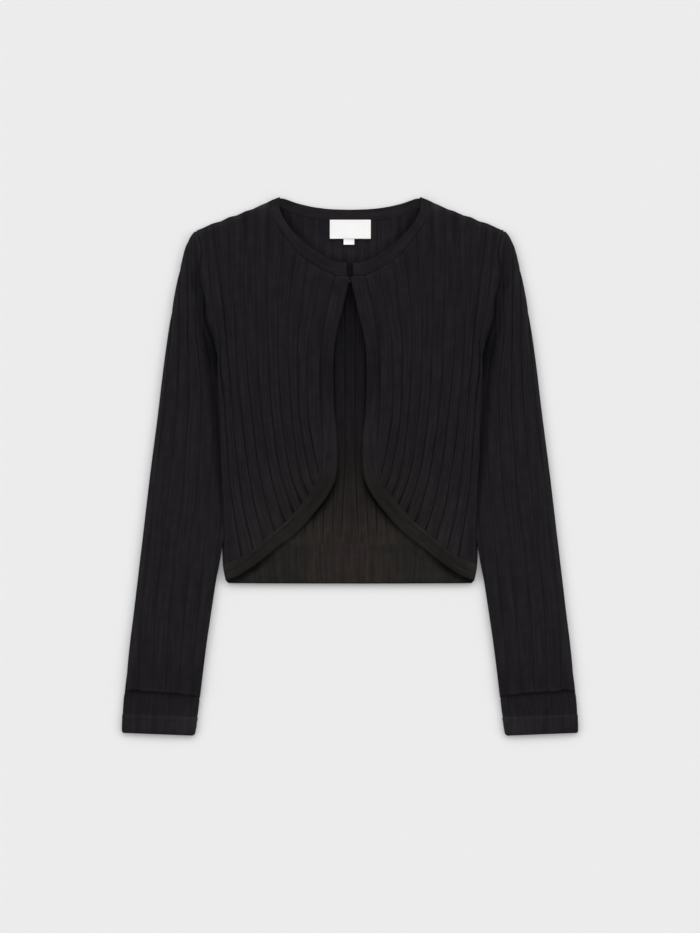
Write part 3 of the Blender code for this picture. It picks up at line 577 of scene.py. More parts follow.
def embossed(tree, shader, pattern, depth, strength):
    """Raise a pattern from the surface, so deep in metres."""
    bumped = add_node(tree, "ShaderNodeBump")
    bumped.inputs["Distance"].default_value = depth
    bumped.inputs["Strength"].default_value = strength
    tree.links.new(pattern, bumped.inputs["Height"])
    tree.links.new(bumped.outputs[0], shader.inputs["Normal"])


def knit(name, colour, warm, height, wales, pit=0.55, warm_centre=(0.0, -0.11), reach=(0.17, 0.04)):
    """A knit of V stitches, with so many columns in a rib, or 1 where the map counts columns itself.

    height is the bump's depth in metres, and pit the brightness of the painted shade between two yarns.
    The warm colour, a painted tint of reflected light, starts at the first reach from the warm centre, and
    is full within the second.
    """
    made, shader = plain_material(name, colour, 0.95, 0.03)
    tree = made.node_tree
    shader.inputs["Sheen Weight"].default_value = 0.02
    shader.inputs["Sheen Roughness"].default_value = 0.45
    across, down = stitch_counts(tree)
    column = calc(tree, "MULTIPLY", across, wales)
    aside = calc(tree, "ABSOLUTE", calc(tree, "SUBTRACT", calc(tree, "FRACT", column), 0.5))
    row = calc(tree, "FRACT", calc(tree, "SUBTRACT", down, calc(tree, "MULTIPLY", aside, 0.9)))
    yarn = calc(tree, "SINE", calc(tree, "MULTIPLY", row, math.pi))
    leg = calc(tree, "SINE", calc(tree, "MULTIPLY", aside, 2 * math.pi))
    stitch = calc(tree, "MULTIPLY", yarn, calc(tree, "MULTIPLY_ADD", leg, 0.65, 0.35))

    place = add_node(tree, "ShaderNodeTexCoord").outputs["Object"]
    fuzz = noise(tree, place, FUZZ, 2.0)
    cloudy = noise(tree, place, CLOUDS, 3.0)
    stretched = add_node(tree, "ShaderNodeCombineXYZ")
    tree.links.new(column, stretched.inputs["X"])
    tree.links.new(calc(tree, "MULTIPLY", down, 0.03), stretched.inputs["Y"])
    streaks = noise(tree, stretched.outputs[0], 0.5, 2.0, noise_dimensions="2D")

    # A painted warm tint of reflected light, full close to the warm centre at the lower middle.
    from_warm_centre = add_node(tree, "ShaderNodeVectorMath", operation="DISTANCE")
    tree.links.new(place, from_warm_centre.inputs[0])
    from_warm_centre.inputs[1].default_value = (*warm_centre, 0.0)
    warmth = ranged(tree, from_warm_centre.outputs["Value"], *reach)
    base = mixed(tree, warmth, (*colour, 1.0), (*warm, 1.0))
    # Each point's painted light and shade darken or lighten the stitches, whose pits carry painted shade.
    painted_light = add_node(tree, "ShaderNodeAttribute", attribute_name="painted_light").outputs["Color"]
    tone, gutter = separated(tree, "ShaderNodeSeparateColor", painted_light)[:2]
    shade = calc(tree, "MULTIPLY", calc(tree, "MULTIPLY_ADD", stitch, 1 - pit, pit), tone)
    shade = calc(tree, "MULTIPLY", shade, ranged(tree, cloudy, 0.25, 0.75, 0.89, 1.11))
    shade = calc(tree, "MULTIPLY", shade, ranged(tree, streaks, 0.25, 0.75, 0.82, 1.18))
    # Painted shade in the rib's gutters, broken up by the patches.
    if wales > 1:
        from_top = calc(tree, "ABSOLUTE", calc(tree, "SUBTRACT", calc(tree, "FRACT", across), 0.5))
        groove = calc(tree, "MULTIPLY", ranged(tree, from_top, 0.38, 0.49), gutter)
        broken = ranged(tree, cloudy, 0.35, 0.65, 0.25, 0.5)
        left = calc(tree, "SUBTRACT", 1.0, calc(tree, "MULTIPLY", groove, broken))
        shade = calc(tree, "MULTIPLY", shade, left)
    grey = add_node(tree, "ShaderNodeCombineColor")
    for channel in grey.inputs:
        tree.links.new(shade, channel)
    tree.links.new(mixed(tree, 1.0, base, grey.outputs[0], "MULTIPLY"), shader.inputs["Base Color"])

    embossed(tree, shader, calc(tree, "MULTIPLY_ADD", fuzz, 0.25, stitch), height, 0.8)
    return made


# The warm colours BROWN, ROSE, TAN and UMBER are painted tints of reflected light.
BLACK = (0.0150, 0.0133, 0.0157)
BROWN = (0.0180, 0.0168, 0.0150)
OLIVE = (0.0186, 0.0176, 0.0157)
ROSE = (0.0257, 0.0204, 0.0189)
TAN = (0.0226, 0.0197, 0.0178)
VIOLET = (0.0129, 0.0114, 0.0135)
UMBER = (0.0151, 0.0141, 0.0126)
PLUM = (0.0157, 0.0140, 0.0164)
SLATE = (0.0165, 0.0147, 0.0170)
rib_knit = knit("black_rib_knit", BLACK, BROWN, 0.00035, RIB_WALES)
sleeve_knit = knit("black_sleeve_knit", PLUM, BROWN, 0.00035, RIB_WALES + 3)
back_knit = knit("black_back_knit", BLACK, TAN, 0.00035, RIB_WALES, 0.55, (0.0, -0.13), (0.19, 0.10))
band_knit = knit("black_band_knit", VIOLET, UMBER, 0.00025, 1, 0.7, (0.0, -0.20), (0.215, 0.18))
hem_knit = knit("black_hem_rib", OLIVE, ROSE, 0.00035, 1, 0.6, (0.0, -0.12), (0.078, 0.015))
cuff_knit = knit("black_cuff_rib", SLATE, BROWN, 0.00030, 1, 0.65)
for made in (rib_knit, sleeve_knit, back_knit, band_knit, hem_knit, cuff_knit):
    print(made.name, "ready")

# %% [markdown]
# ## The back
#
# The back is one panel of wide rib, from the neck and shoulder seams down to its hem band. Most of it is
# hidden: what shows is a strip between the front bands and the inside of the neck. Its columns are set
# rib by rib out to the ninth gutter, so that each gutter has points of its own, and evenly from there to
# the side, where the armhole cuts through the ribs. Black wool close under a band's edge gets little light,
# so a narrow and a wide soft shadow along the edges are painted into its light and shade, and so is the
# shade inside the opening. Lamps alone would make such a shadow sharp, or lose it.

# %% Creases and shadows of the back
BACK_ROWS = 150
BACK_WHOLE_RIBS = 9  # laid rib by rib
BACK_BEYOND = 45  # even columns from there to the side
BACK_SHOULDER = 181  # out, where the last column of points starts
ARMHOLE_TOP = 39.5  # down
BACK_CREASES = (  # out, down, half length, half width, height, turn from the ribs' direction
    (-40, 250, 60, 9, -0.35, 12), (72, 210, 75, 11, -0.4, -18), (-96, 330, 50, 8, 0.4, 24),
    (30, 365, 42, 7, 0.3, -9), (110, 120, 45, 10, 0.35, 35), (-118, 95, 55, 9, -0.3, -28),
)
BACK_SHADE = (  # down, how much light reaches the back inside the opening
    (30, 1), (50, 1.22), (68, 1.2), (78.5, 1), (80, 0.75), (85, 0.9), (91, 1.3), (106, 1.1), (122, 0.7),
    (140, 0.7), (175, 0.66), (205, 0.69), (226, 0.72), (249, 0.8), (284, 0.82), (300, 0.74), (330, 0.69),
    (345, 0.78), (370, 0.86), (385, 0.96), (399, 1.15), (416, 1.08),
)
UNDER_BAND = (  # down, how dark a front band's narrow shadow is, and its wide one: below 0, it is lit
    (90, 0, 0), (310, 0, 0), (325, 0.12, 0), (336, 0.4, 0.05), (345, 0.75, 0.2), (354, 0.85, 0.46),
    (370, 0.85, 0.48), (380, 0.6, 0.4), (390, 0.45, 0.15), (400, 0.35, -0.1), (412, 0.3, -0.25),
    (422, 0.2, -0.3), (430, 0.3, 0.2), (438, 0.1, 0.55), (447, 0.05, 0.64), (463, 0.05, 0.6),
)
UNDER_NECK = (  # out, how dark the shadow under the neckband is
    (0, 0.1), (18, 0.12), (34, 0.2), (48, 0.25), (60, 0.4), (85, 0.5),
)
BAND_EDGE = [(x, y, straight(UNDER_BAND, y)) for x, y in stations(FRONT_BAND, 1.5)[:, 2:]]
WIDE_EDGE = [(x, y, straight(UNDER_BAND, y, 2)) for x, y, dark in BAND_EDGE]
NECK_EDGE = [(x, y, straight(UNDER_NECK, x)) for x, y in stations(NECK_FRONT, 1.5)[:, :2]]
NARROW = (0.6, 4)  # how far from the edge a shadow begins to fade, and where it ends
WIDE = (3, 10)
UNDER_NECK_REACH = (3, 13)
print("shadows along", len(BAND_EDGE), "places of a front band and", len(NECK_EDGE), "of the neckband")


# %% Points of the back
def under_band(out, down):
    """How much light the shadow of a front band leaves on the back and its hem band."""
    return shaded(out, down, BAND_EDGE, *NARROW) * shaded(out, down, WIDE_EDGE, *WIDE)


def back_out(steps, first, pitch):
    """How far out rib places of the back lie: half a rib at the middle, then whole ribs of one pitch."""
    return np.where(steps < 0, (steps + 0.5) * 2 * first, first + steps * pitch)


def half_back(rows):
    """Out, down and rib place of the back's points, on one half, from the centre line to the side."""
    steps = rib_places(-1, BACK_WHOLE_RIBS)
    steps = steps[steps >= -0.5]
    n = len(steps)
    beyond = np.linspace(0.0, 1.0, BACK_BEYOND + 1)[1:]
    at_top = back_out(steps, *BACK_RIBS[0][1:])
    tops = np.concatenate((at_top, at_top[-1] + (BACK_SHOULDER - at_top[-1]) * beyond))
    starts = np.minimum(top_edge(NECK_BACK, tops), ARMHOLE_TOP)
    down = starts + (BACK_END - 0.05 - starts) * np.linspace(0.0, 1.0, rows)[:, None]
    first, pitch = straight(BACK_RIBS, down), straight(BACK_RIBS, down, 2)
    out = np.empty_like(down)
    out[:, :n] = back_out(steps, first[:, :n], pitch[:, :n])
    ninth = out[:, n - 1:n]
    out[:, n:] = ninth + (side_out(down[:, n:]) - 0.15 - ninth) * beyond
    place = np.where(out < first, out / first / 2 - 0.5, (out - first) / pitch)
    return out, down, place


def joined(right, left):
    """Two halves of a grid in one, with a single column of points on the centre line."""
    return np.concatenate((right[:, ::-1], left[:, 1:]), axis=1)


print("points across half the back:", half_back(2)[0].shape[1])


# %% Back
def back():
    """The back, its ribs pulled nearly smooth below the neckband."""
    out, down, place = half_back(BACK_ROWS)
    from_top = down - down[:1]
    from_end = down[-1:] - down
    fade = rising(from_end, 0, 20) * (0.4 + 0.6 * rising(from_top, 0, 4))
    smooth = falling(down, 70, 120)
    ribs = relief(place) * (1 - smooth) + broad(place) * smooth
    height = lift(out, down, BACK_LIFT) + WALL + RIB * ribs * fade
    height = height + 0.5 * falling(from_top, 0, 2.5) * (out > NECK_POINT)
    stitches = np.stack((place, down / COURSE), axis=-1)
    # Painted shade inside the opening and painted shadows of the front bands and the neckband. Where the ribs
    # are pulled smooth, their tops are painted lighter and their troughs darker, and groove sets the painted
    # shade in the gutters.
    tone = straight(BACK_SHADE, down) * under_band(out, down)
    tone = tone * shaded(out, down, NECK_EDGE, *UNDER_NECK_REACH)
    tone = tone * (1 + 0.2 * (broad(place) - 0.5) * smooth)
    groove = fade * (1 - 0.85 * smooth)
    halves = []
    for side in (-1, 1):
        creases = creased(side * out, down, BACK_CREASES) * rising(side_out(down) - out, 0, 20)
        bent = np.maximum(height + np.maximum(creases, -0.3), CLOTH + 0.05)
        halves.append((placed(side, out, down, bent), stitches * (side, 1.0), tone, groove))
    points, marks, tone, groove = (joined(*pair) for pair in zip(*halves))
    return laid("back_panel", points, marks, back_knit, tone, groove)


back_panel = back()

# %% [markdown]
# ## The fronts
#
# Each front is a panel of eleven wide ribs that fan in from the shoulder to the waist and are cut across
# by the curved band. Rib gutters are deeper towards the waist, where the ribs crowd together. A second
# gutter from the armhole runs deep beside a soft hump, because the panel strains there, and painted shade
# darkens it. Since every rib place has its own column of points, the gutters stay sharp all the way down.

# %% Rib lines of a front
LEVELS = np.arange(0.0, 470.0, 2.0)


def gutter_lines(places):
    """How far out each rib place of a front lies at each of the levels."""
    corner = np.minimum(LEVELS, FRONT_CORNER)
    band = eased(FRONT_BAND, corner, 1, 0) - 0.6 * (LEVELS - corner)
    known = [side_out(LEVELS), *(eased(FRONT_RIBS, LEVELS, 0, i + 1) for i in range(6)), band]
    keys = (0, *FRONT_GUTTERS, FRONT_RIB_COUNT)
    return np.array([eased(np.column_stack((keys, row)), places, 0, 1) for row in np.stack(known, axis=1)])


def crossed(levels, difference):
    """The level at which a row of differences first passes 0."""
    i = max(int(np.argmax(difference >= 0)), 1)
    share = difference[i - 1] / (difference[i - 1] - difference[i])
    return levels[i - 1] + share * (levels[i] - levels[i - 1])


def front_grid(rows):
    """Out, down and rib place of a front's points."""
    places = rib_places(0, FRONT_RIB_COUNT)
    lines = gutter_lines(places)
    seam = stations(FRONT_BAND, 3)
    low = LEVELS >= 311
    outs, downs = [], []
    for column, place in enumerate(places):
        line = lines[:, column]
        top = crossed(LEVELS, LEVELS - top_edge(NECK_FRONT, line))
        end = crossed(LEVELS[low], (np.interp(LEVELS, seam[:, 1], seam[:, 0]) - line)[low])
        if place == FRONT_RIB_COUNT:
            end = FRONT_CORNER
        down = top + (end - top) * np.linspace(0.0, 1.0, rows)
        outs.append(np.interp(down, LEVELS, line))
        downs.append(down)
    out, down = np.stack(outs, axis=1), np.stack(downs, axis=1)
    return out, down, places[None, :] + 0 * out


print("ribs of a front:", FRONT_RIB_COUNT)

# %% Creases and edges of the fronts
FRONT_ROWS = 120
FRONT_CREASES = (  # as for the back
    (152.5, 120, 85, 3.2, -0.8, -10), (168, 150, 55, 7, 1, -9), (147, 262, 75, 3, -0.5, -3),
    (60, 300, 60, 5, -0.4, 4), (44, 285, 50, 5, -0.4, 6), (84, 350, 50, 6, 0.4, -16),
)
FRONT_INSET = (  # down, how far in from the side the front's outer ribs are drawn
    (118, 0), (135, 0.6), (152, 2.4), (171, 3.2), (181, 1.4), (196, 0.2), (215, 0.6), (230, 1.4),
    (327, 1.7), (350, 0.9), (400, 0.2), (425, 0),
)
EDGE_TURN = (  # down, how much further its edge is turned under
    (86, 0), (104, 1.2), (118, 3.1), (132, 1.4), (147, -0.2), (160, 1.4), (170, 2.4), (179.5, 1.9),
    (189, 1.7), (198.7, 0.5), (213, 1), (237, 1.2), (273, 1.1), (309, 0.5), (345, 1.7), (363, 2.4),
    (387, 2.6), (405, 2.9), (417, 2.2), (423, 1.9), (435, 1.3), (447, 0.5), (459, 0),
)
EDGE_SHADE = (  # down, how wide the dim border beside a sleeve is, how much light it loses at its edge
    (45, 4, -0.3), (60, 4, -0.35), (70, 6, -0.1), (78, 8, 0.15), (87, 9, 0.2), (97, 11, 0.4),
    (105, 9, 0.5), (112, 6, 0.35), (119, 3, 0.15), (133, 6, 0.4), (147, 4.5, 0.4), (160, 6, 0.45),
    (172, 4, 0.3), (185, 3, 0.1), (230, 2, 0),
)


def edge_turn(down):
    """How much further a front's outer edge is turned under."""
    return eased(EDGE_TURN, np.clip(down, EDGE_TURN[0][0], EDGE_TURN[-1][0]), 0, 1)


def front_edge(down):
    """How far out the visible edge of a front lies, beside the sleeve."""
    return side_out(down) - straight(FRONT_INSET, down) - edge_turn(down)


def round_edge(away, radius):
    """The profile of a rounded edge, from 0 at the edge to 1 a radius away from it."""
    return np.sqrt(np.clip(1 - (1 - away / radius).clip(0, 1) ** 2, 0, 1))


print("a front's edge at the armhole is", round(float(front_edge(120)), 1), "mm out")


# %% Fronts
def front(side, name):
    """One front, from its neck and shoulder seams to the seam of its band."""
    out, down, place = front_grid(FRONT_ROWS)
    turned = edge_turn(down) * falling(place, 0, 1)
    out = out - straight(FRONT_INSET, down) * falling(side_out(down) - out, 0, 30) - turned
    from_top, from_end = down - down[:1], down[-1:] - down
    from_side = out[:, :1] - out
    shoulder = (out[:1] > NECK_POINT) & (out > 0)

    # The ribs are broad and shallow at the shoulder, and deep below the armhole.
    smooth = falling(down, 40, 110)
    ribs = relief(place) * (1 - 0.85 * smooth) + 0.85 * smooth * broad(place)
    deep = 1.1 + 0.5 * rising(down, 110, 270)
    seams = np.minimum(0.4 + 0.6 * rising(from_end, 0, 2), rising(from_top, 0, 3))
    rise = upper_rise(out, down) + lift(out, down, FRONT_LIFT) + creased(out, down, FRONT_CREASES)
    height = UPPER + WALL + rise + RIB * (1 - deep * (1 - ribs)) * seams

    # The outer edge rolls under, the shoulder folds over, and the neck seam sinks a little.
    height = height - (0.25 + 0.65 * rising(down, 110, 180)) * (1 - round_edge(from_side, 2.2))
    folded, sunk = 1.5 * (1 - round_edge(from_top, 2.5)), 0.5 * falling(from_top, 0, 1.8)
    height = height - np.where(shoulder, folded, sunk)

    # Painted shade darkens the gutters, the deep gutters from the armhole and the gutter ends at the band
    # most, and the border that the sleeve shades. The broad ribs at the shoulder get painted lighter tops
    # and darker troughs, painted highlights light the shoulder fold and the neck point, and the panel is
    # lighter low down, well out from the middle.
    groove = 0.2 + 0.15 * rising(down, 60, 100) + 0.65 * rising(down, 160, 300)
    armhole_gutter_shade = bump(place, 2, 0.13) * bump(down, 155, 38)
    armhole_gutter_shade = armhole_gutter_shade + bump(place, 1, 0.16) * bump(down, 200, 45)
    border = straight(EDGE_SHADE, down, 2) * falling(from_side, 0, straight(EDGE_SHADE, down))
    pulled = falling(from_end, 3, 18) * bump(down, 362, 34)
    tone = (1 - 0.55 * armhole_gutter_shade) * (1 + 0.26 * (broad(place) - 0.5) * smooth) * (1 - border)
    tone = tone * (1 + 0.25 * falling(from_top, 0, 9) * shoulder)
    tone = tone * (1 + 0.45 * bump(np.hypot(out - 97, down - 9), 0, 11))
    tone = tone * (1 + 0.16 * bump(out, 122, 27) * rising(down, 315, 365))
    tone = tone * (1 - 0.5 * pulled * bump(place - np.round(place), 0, 0.17))
    stitches = np.stack((place, down / COURSE), axis=-1)
    return laid(name, placed(side, out, down, height), stitches, rib_knit, tone, groove)


front_right_panel = front(-1, "front_right_panel")
front_left_panel = front(1, "front_left_panel")

# %% [markdown]
# ## The sleeves
#
# A sleeve lying flat is a tube pressed nearly shut: an upper face, a round fold on its outer side, a
# lower face, and an inner fold. Above the underarm the tube is open, where the armhole's seam runs. The
# ribs run round the folds without a break, so a rib's place is counted along the cloth, not across the
# picture. The upper face crowns a little, sinks towards the armhole, where it dips under the front's
# edge, and puffs out over the seam of its cuff.

# %% Folds of the sleeves
NEAR_FOLD = 5  # steps round each quarter of the inner fold
TOP_COLUMNS = 150
FAR_FOLD = 10  # steps round the outer fold
LOW_COLUMNS = 70
SLEEVE_CREASES = (  # as for the back
    (203, 96, 34, 6, -0.9, -8), (196, 140, 30, 6, 0.6, -6), (225, 330, 50, 8, 0.45, 14),
    (190, 300, 60, 9, -0.45, 20), (215, 420, 45, 7, -0.4, -16), (240, 470, 40, 8, 0.4, 24),
    (190, 520, 40, 6, -0.4, 10), (186, 565, 20, 5, 1, 4), (228, 575, 16, 7, 0.6, -8),
    (258, 560, 22, 6, 0.5, 8),
)
POCKET = (  # down, width of the shaded fold along the front's edge, how much light it loses
    (44, 4, -0.3), (60, 4, -0.3), (72, 5, 0), (78, 6, 0), (95, 10, 0.25), (108, 11, 0.4),
    (145, 11.5, 0.44), (160, 13, 0.48), (172, 15, 0.6), (182, 18, 0.68), (200, 19, 0.6), (215, 18, 0.42),
    (240, 15, 0.36), (310, 10.5, 0.34), (335, 9, 0.28), (350, 8, 0.2), (372, 6, 0.1), (400, 4, 0),
)
CUFF_WAVE = (  # share of the width from the outer side, how far the sleeve's end falls below its seam
    (0, -0.6), (0.07, -1.9), (0.14, -3.4), (0.17, -3.1), (0.22, -1.8), (0.28, -0.9), (0.36, -1.9),
    (0.48, -1), (0.55, -1.5), (0.60, -0.9), (0.69, -0.9), (0.74, -0.4), (0.80, 1), (0.86, 0.6),
    (0.92, 1), (1, 2.8),
)


def tuck(down):
    """How far a sleeve's seam and inner fold lie in under the front's edge."""
    return 3 * rising(down, 100, 160) * (1 - 0.5 * rising(down, 222, 244))


def sleeve_levels():
    """The levels of a sleeve's rows, closer together where it puffs out over the cuff."""
    ends = CUFF_SEAM - np.array((12, 10, 8, 6.5, 5, 4, 3, 2.2, 1.5, 0.9, 0.4, 0))
    return np.concatenate((np.linspace(41.2, ends[0], 130)[:-1], ends))[:, None]


def round_tube(near_steps, top_columns, far_steps, low_columns):
    """Columns round a flattened tube, from the middle of its inner fold over the top and back below.

    The first result is how far each lies from the inner fold to the outer, and the second which way it
    faces: half of pi on top, 0 at the outer fold and less than that below.
    """
    near, far = np.zeros(near_steps), np.ones(far_steps - 1)
    top, low = np.linspace(0, 1, top_columns), np.linspace(1, 0, low_columns)
    share = np.concatenate((near, top, far, low, near))
    quarter = np.linspace(1.0, 0.5, near_steps + 1)[:-1]
    half = np.linspace(0.5, -0.5, far_steps + 1)[1:-1]
    turn = np.concatenate((quarter, 0 * top + 0.5, half, 0 * low - 0.5, -quarter[::-1]))
    return share, math.pi * turn


print("rows of a sleeve:", len(sleeve_levels()))


# %% Sleeves
def sleeve(side, name):
    """One sleeve, a flattened tube open above the underarm."""
    down = sleeve_levels()
    below = rising(down, UNDERARM, UNDERARM + 6)
    outer = eased(SLEEVE_OUTER, down, 0, 1) - RIB / 2 - 0.6
    fold = eased(SLEEVE_INNER, down, 0, 1)
    hidden = front_edge(down) - tuck(down)
    fold = fold + (np.minimum(fold, hidden) - fold) * falling(down, 404, 422)
    inner = np.where(down < UNDERARM, hidden, fold)
    radius = np.minimum(1.8, (outer - inner) / 2.4)
    far = outer - radius
    near = inner + radius * below

    share, turn = round_tube(NEAR_FOLD, TOP_COLUMNS, FAR_FOLD, LOW_COLUMNS)
    middle = near + (far - near) * share
    from_fold = np.sign(turn) * (far - middle + radius * np.abs(turn))
    first, pitch = eased(SLEEVE_RIBS, down, 0, 1) - 0.8, eased(SLEEVE_RIBS, down, 0, 2)
    place = (first - far + from_fold - radius * math.pi / 2) / pitch
    ribs = relief(place, 7)

    # The upper face crowns, sinks beside the front's edge and puffs out over the cuff.
    upper = np.maximum(np.sin(turn), 0)
    inwards, outwards = middle - inner, outer - middle
    covered = np.maximum(front_edge(down) - inner, 0) * rising(down, 215, 240)
    full = 1.5 + 2.4 * bump(down, 165, 65) * rising(down, 50, 90)
    crown = full * rising(inwards - covered, 0.5, 11.5) * rising(outwards, 0, 13)
    sunk = 0.85 * rising(down, 95, 155) * falling(inwards, 0, 6) * (1 - below)
    beside = 0.6 * below * falling(inwards - covered, 0, 4.5)
    sunk = sunk + beside * falling(down, 430, 460)
    puff = 1.5 * rising(down, 560, 586) * rising(inwards, 0, 6) * rising(outwards, 0, 6)
    to_end = CUFF_SEAM - down
    turned_in = 1 - round_edge(to_end, 2.4)

    # The gutters are shallower at the cuff, at the armhole's seam and beside the front's edge.
    deep = 1.3 - 0.3 * rising(down, 240, 360) - 0.8 * falling(down, 48, 82)
    at_seam = falling(inwards, 0.8, 3.8) * (1 - below)
    at_front = (covered > 0.5) * falling(inwards - covered, 0, 3)
    deep = deep * (1 - 0.7 * turned_in) * (1 - 0.6 * at_seam) * (1 - 0.9 * at_front)
    bulge = radius + RIB * upper - deep * (1 - ribs)
    folds = creased(middle, down, SLEEVE_CREASES) * upper
    folds = folds * rising(outwards, 0, 8) * rising(inwards, 0, 8)
    raised = upper * (crown + puff - sunk - (2.2 + puff * 0.8) * turned_in) + folds
    height = np.maximum(radius + bulge * np.sin(turn) + raised, np.where(turn > 0, 2.45, 0.0))
    out = middle + bulge * np.cos(turn)

    # Its end waves over the cuff.
    wave = straight(CUFF_WAVE, (outer - out) / (outer - inner)) - 1.3
    lowered = down + TILT * rising(down, 400, 560) * (outer - out)
    lowered = lowered + wave * rising(down, 565, 595)

    # Painted light and shade: the shaded fold along the front's edge, the lit outer fold, a highlight just
    # above the cuff's seam and a darker stretch above that; groove sets the painted shade in the gutters.
    pocket = (out - front_edge(down)) / straight(POCKET, down)
    in_fold = (0.45 + 0.55 * rising(pocket, 0, 0.28)) * falling(pocket, 0.6, 1.2)
    tone = 1 - straight(POCKET, down, 2) * in_fold * (upper > 0)
    tone = tone * (1 + 0.28 * falling(outwards, 3, 8) + 0.12 * bump(to_end, 3.4, 1.8))
    tone = tone * (1 - 0.17 * bump(down, 575, 15))
    groove = 0.7 - 0.4 * rising(down, 240, 360) + 0.2 * rising(down, 400, 490)
    groove = groove * (0.25 + 0.75 * rising(down, 50, 80))

    levels = down[:, 0]
    last = share.size - 1

    def above_underarm(row, column):
        return levels[row] < UNDERARM - 2 and (column < NEAR_FOLD or column >= last - NEAR_FOLD)

    points = placed(side, out, lowered, height)
    stitches = np.stack(np.broadcast_arrays(place, down / COURSE), axis=-1)
    return laid(name, points, stitches, sleeve_knit, tone, groove, ring=True, opened=above_underarm)


sleeve_right_tube = sleeve(-1, "sleeve_right_tube")
sleeve_left_tube = sleeve(1, "sleeve_left_tube")

# %% [markdown]
# ## The cuffs
#
# A cuff is a shorter tube of fine rib, then a raised line where the knit turns, then a smooth welt. It
# starts a little way under the end of the sleeve, so that the puffed sleeve throws a thin dark line along
# the seam.

# %% Cuffs
CUFF_RIBS = 30
CUFF_RADIUS = 1.75  # of its two folds
CUFF_WALE = 1.5  # the width of a column of stitches
FINE_COURSE = 0.9  # the height of a row of them, here and in the bands
FINE_RIB = 0.45  # how far a fine rib stands above its gutters
CUFF_ROWS = (  # level, height of the fine ribs, height of the ground, how far the corners are drawn in
    (CUFF_SEAM - 7, 0.4, -0.8, 0), (CUFF_SEAM - 4, 0.6, -0.5, 0), (CUFF_SEAM - 1, 1, -0.1, 0),
    (600, 1, 0.1, 0), (606, 1, 0.2, 0), (612, 1, 0.2, 0), (616, 1, 0.1, 0),
    (CUFF_RIDGE - 1.6, 0.8, 0, 0), (CUFF_RIDGE - 0.9, 0.3, 0.3, 0), (CUFF_RIDGE - 0.2, 0.1, 0.7, 0),
    (CUFF_RIDGE + 0.6, 0, 0.9, 0), (CUFF_RIDGE + 1.4, 0, 0.7, 0), (CUFF_RIDGE + 2.1, 0, 0.6, 0),
    (CUFF_RIDGE + 2.8, 0, 0.8, 0), (CUFF_RIDGE + 3.8, 0.1, 0.5, 0), (626, 0.15, 0.5, 0),
    (632, 0.15, 0.55, 0), (637, 0.15, 0.4, 0.1), (CUFF_END - 2, 0.1, 0.2, 0.2),
    (CUFF_END - 0.8, 0, -0.1, 0.6), (CUFF_END, 0, -0.6, 1.1), (CUFF_END + 0.4, 0, -1.3, 1.6),
)


def cuff(side, name):
    """One cuff, a flattened tube of fine rib and welt."""
    down, ribbed, ground, corner = (np.array(column)[:, None] for column in zip(*CUFF_ROWS))
    tucked = 0.8 * (down < CUFF_SEAM)
    outer = eased(SLEEVE_OUTER, down, 0, 1) - corner - tucked
    inner = eased(SLEEVE_INNER, down, 0, 1) + corner + tucked
    columns = CUFF_RIBS * 6 + 1
    share, turn = round_tube(3, columns, 6, columns)
    near, far = inner + CUFF_RADIUS, outer - CUFF_RADIUS
    middle = near + (far - near) * share
    flat = np.abs(np.abs(turn) - math.pi / 2) < 0.01
    rise = np.where(flat, np.sin(math.pi * CUFF_RIBS * share) ** 2, 0.0)
    above = (FINE_RIB * ribbed * rise + ground) * (turn > 0)
    bulge = CUFF_RADIUS + above - FINE_RIB * ribbed * (1 - rise) * (turn < 0)
    bulge = bulge + np.minimum(ground, 0) * (turn < 0)
    height = CUFF_RADIUS + bulge * np.sin(turn) + 0.5 * np.maximum(np.sin(turn), 0) * np.sin(math.pi * share)
    fine = down < CUFF_RIDGE - 1
    # Painted light and shade: a highlight on the ridge, the fine rib darker, and both lighter towards the
    # inner fold.
    tone = 0.94 - 0.13 * fine + 0.2 * bump(down, CUFF_RIDGE + 1, 1.6)
    tone = tone + 0.3 * (1 - fine) * (1 - share) ** 2 + 0.15 * fine * (1 - share) ** 4
    out = middle + bulge * np.cos(turn)
    lowered = down + TILT * (outer - out)
    cloth = np.sign(turn) * (far - middle + CUFF_RADIUS * np.abs(turn))
    stitches = np.stack(np.broadcast_arrays(cloth / CUFF_WALE, lowered / FINE_COURSE), axis=-1)
    return laid(name, placed(side, out, lowered, height), stitches, cuff_knit, tone, ring=True)


cuff_right_tube = cuff(-1, "cuff_right_tube")
cuff_left_tube = cuff(1, "cuff_left_tube")

# %% [markdown]
# ## The hem band
#
# The back ends in a band of fine rib, about three millimetres to a rib. It lies flat at its seam and
# curls up by about two millimetres towards its lower edge, so its ribs are set on a rising ground.

# %% Hem band
HEM_RIBS = 98
HEM_WALL = 1.5  # its thickness in a gutter
HEM_ROWS = (  # level, height of the fine ribs, height of the ground
    (BACK_END - 1.2, 0, -0.4), (BACK_END, 0, -0.2), (BACK_END + 1.5, 0.5, -0.15),
    (BACK_END + 3, 1, 0), (424, 1, 0), (430, 1, 0.1), (436, 1, 0.3),
    (442, 1, 0.7), (448, 1, 1.2), (454, 1, 1.7), (458, 1, 2), (460.6, 0.9, 2.15),
    (462, 0.6, 2.05), (462.9, 0.3, 1.75), (HEM_END, 0.1, 1.4),
)


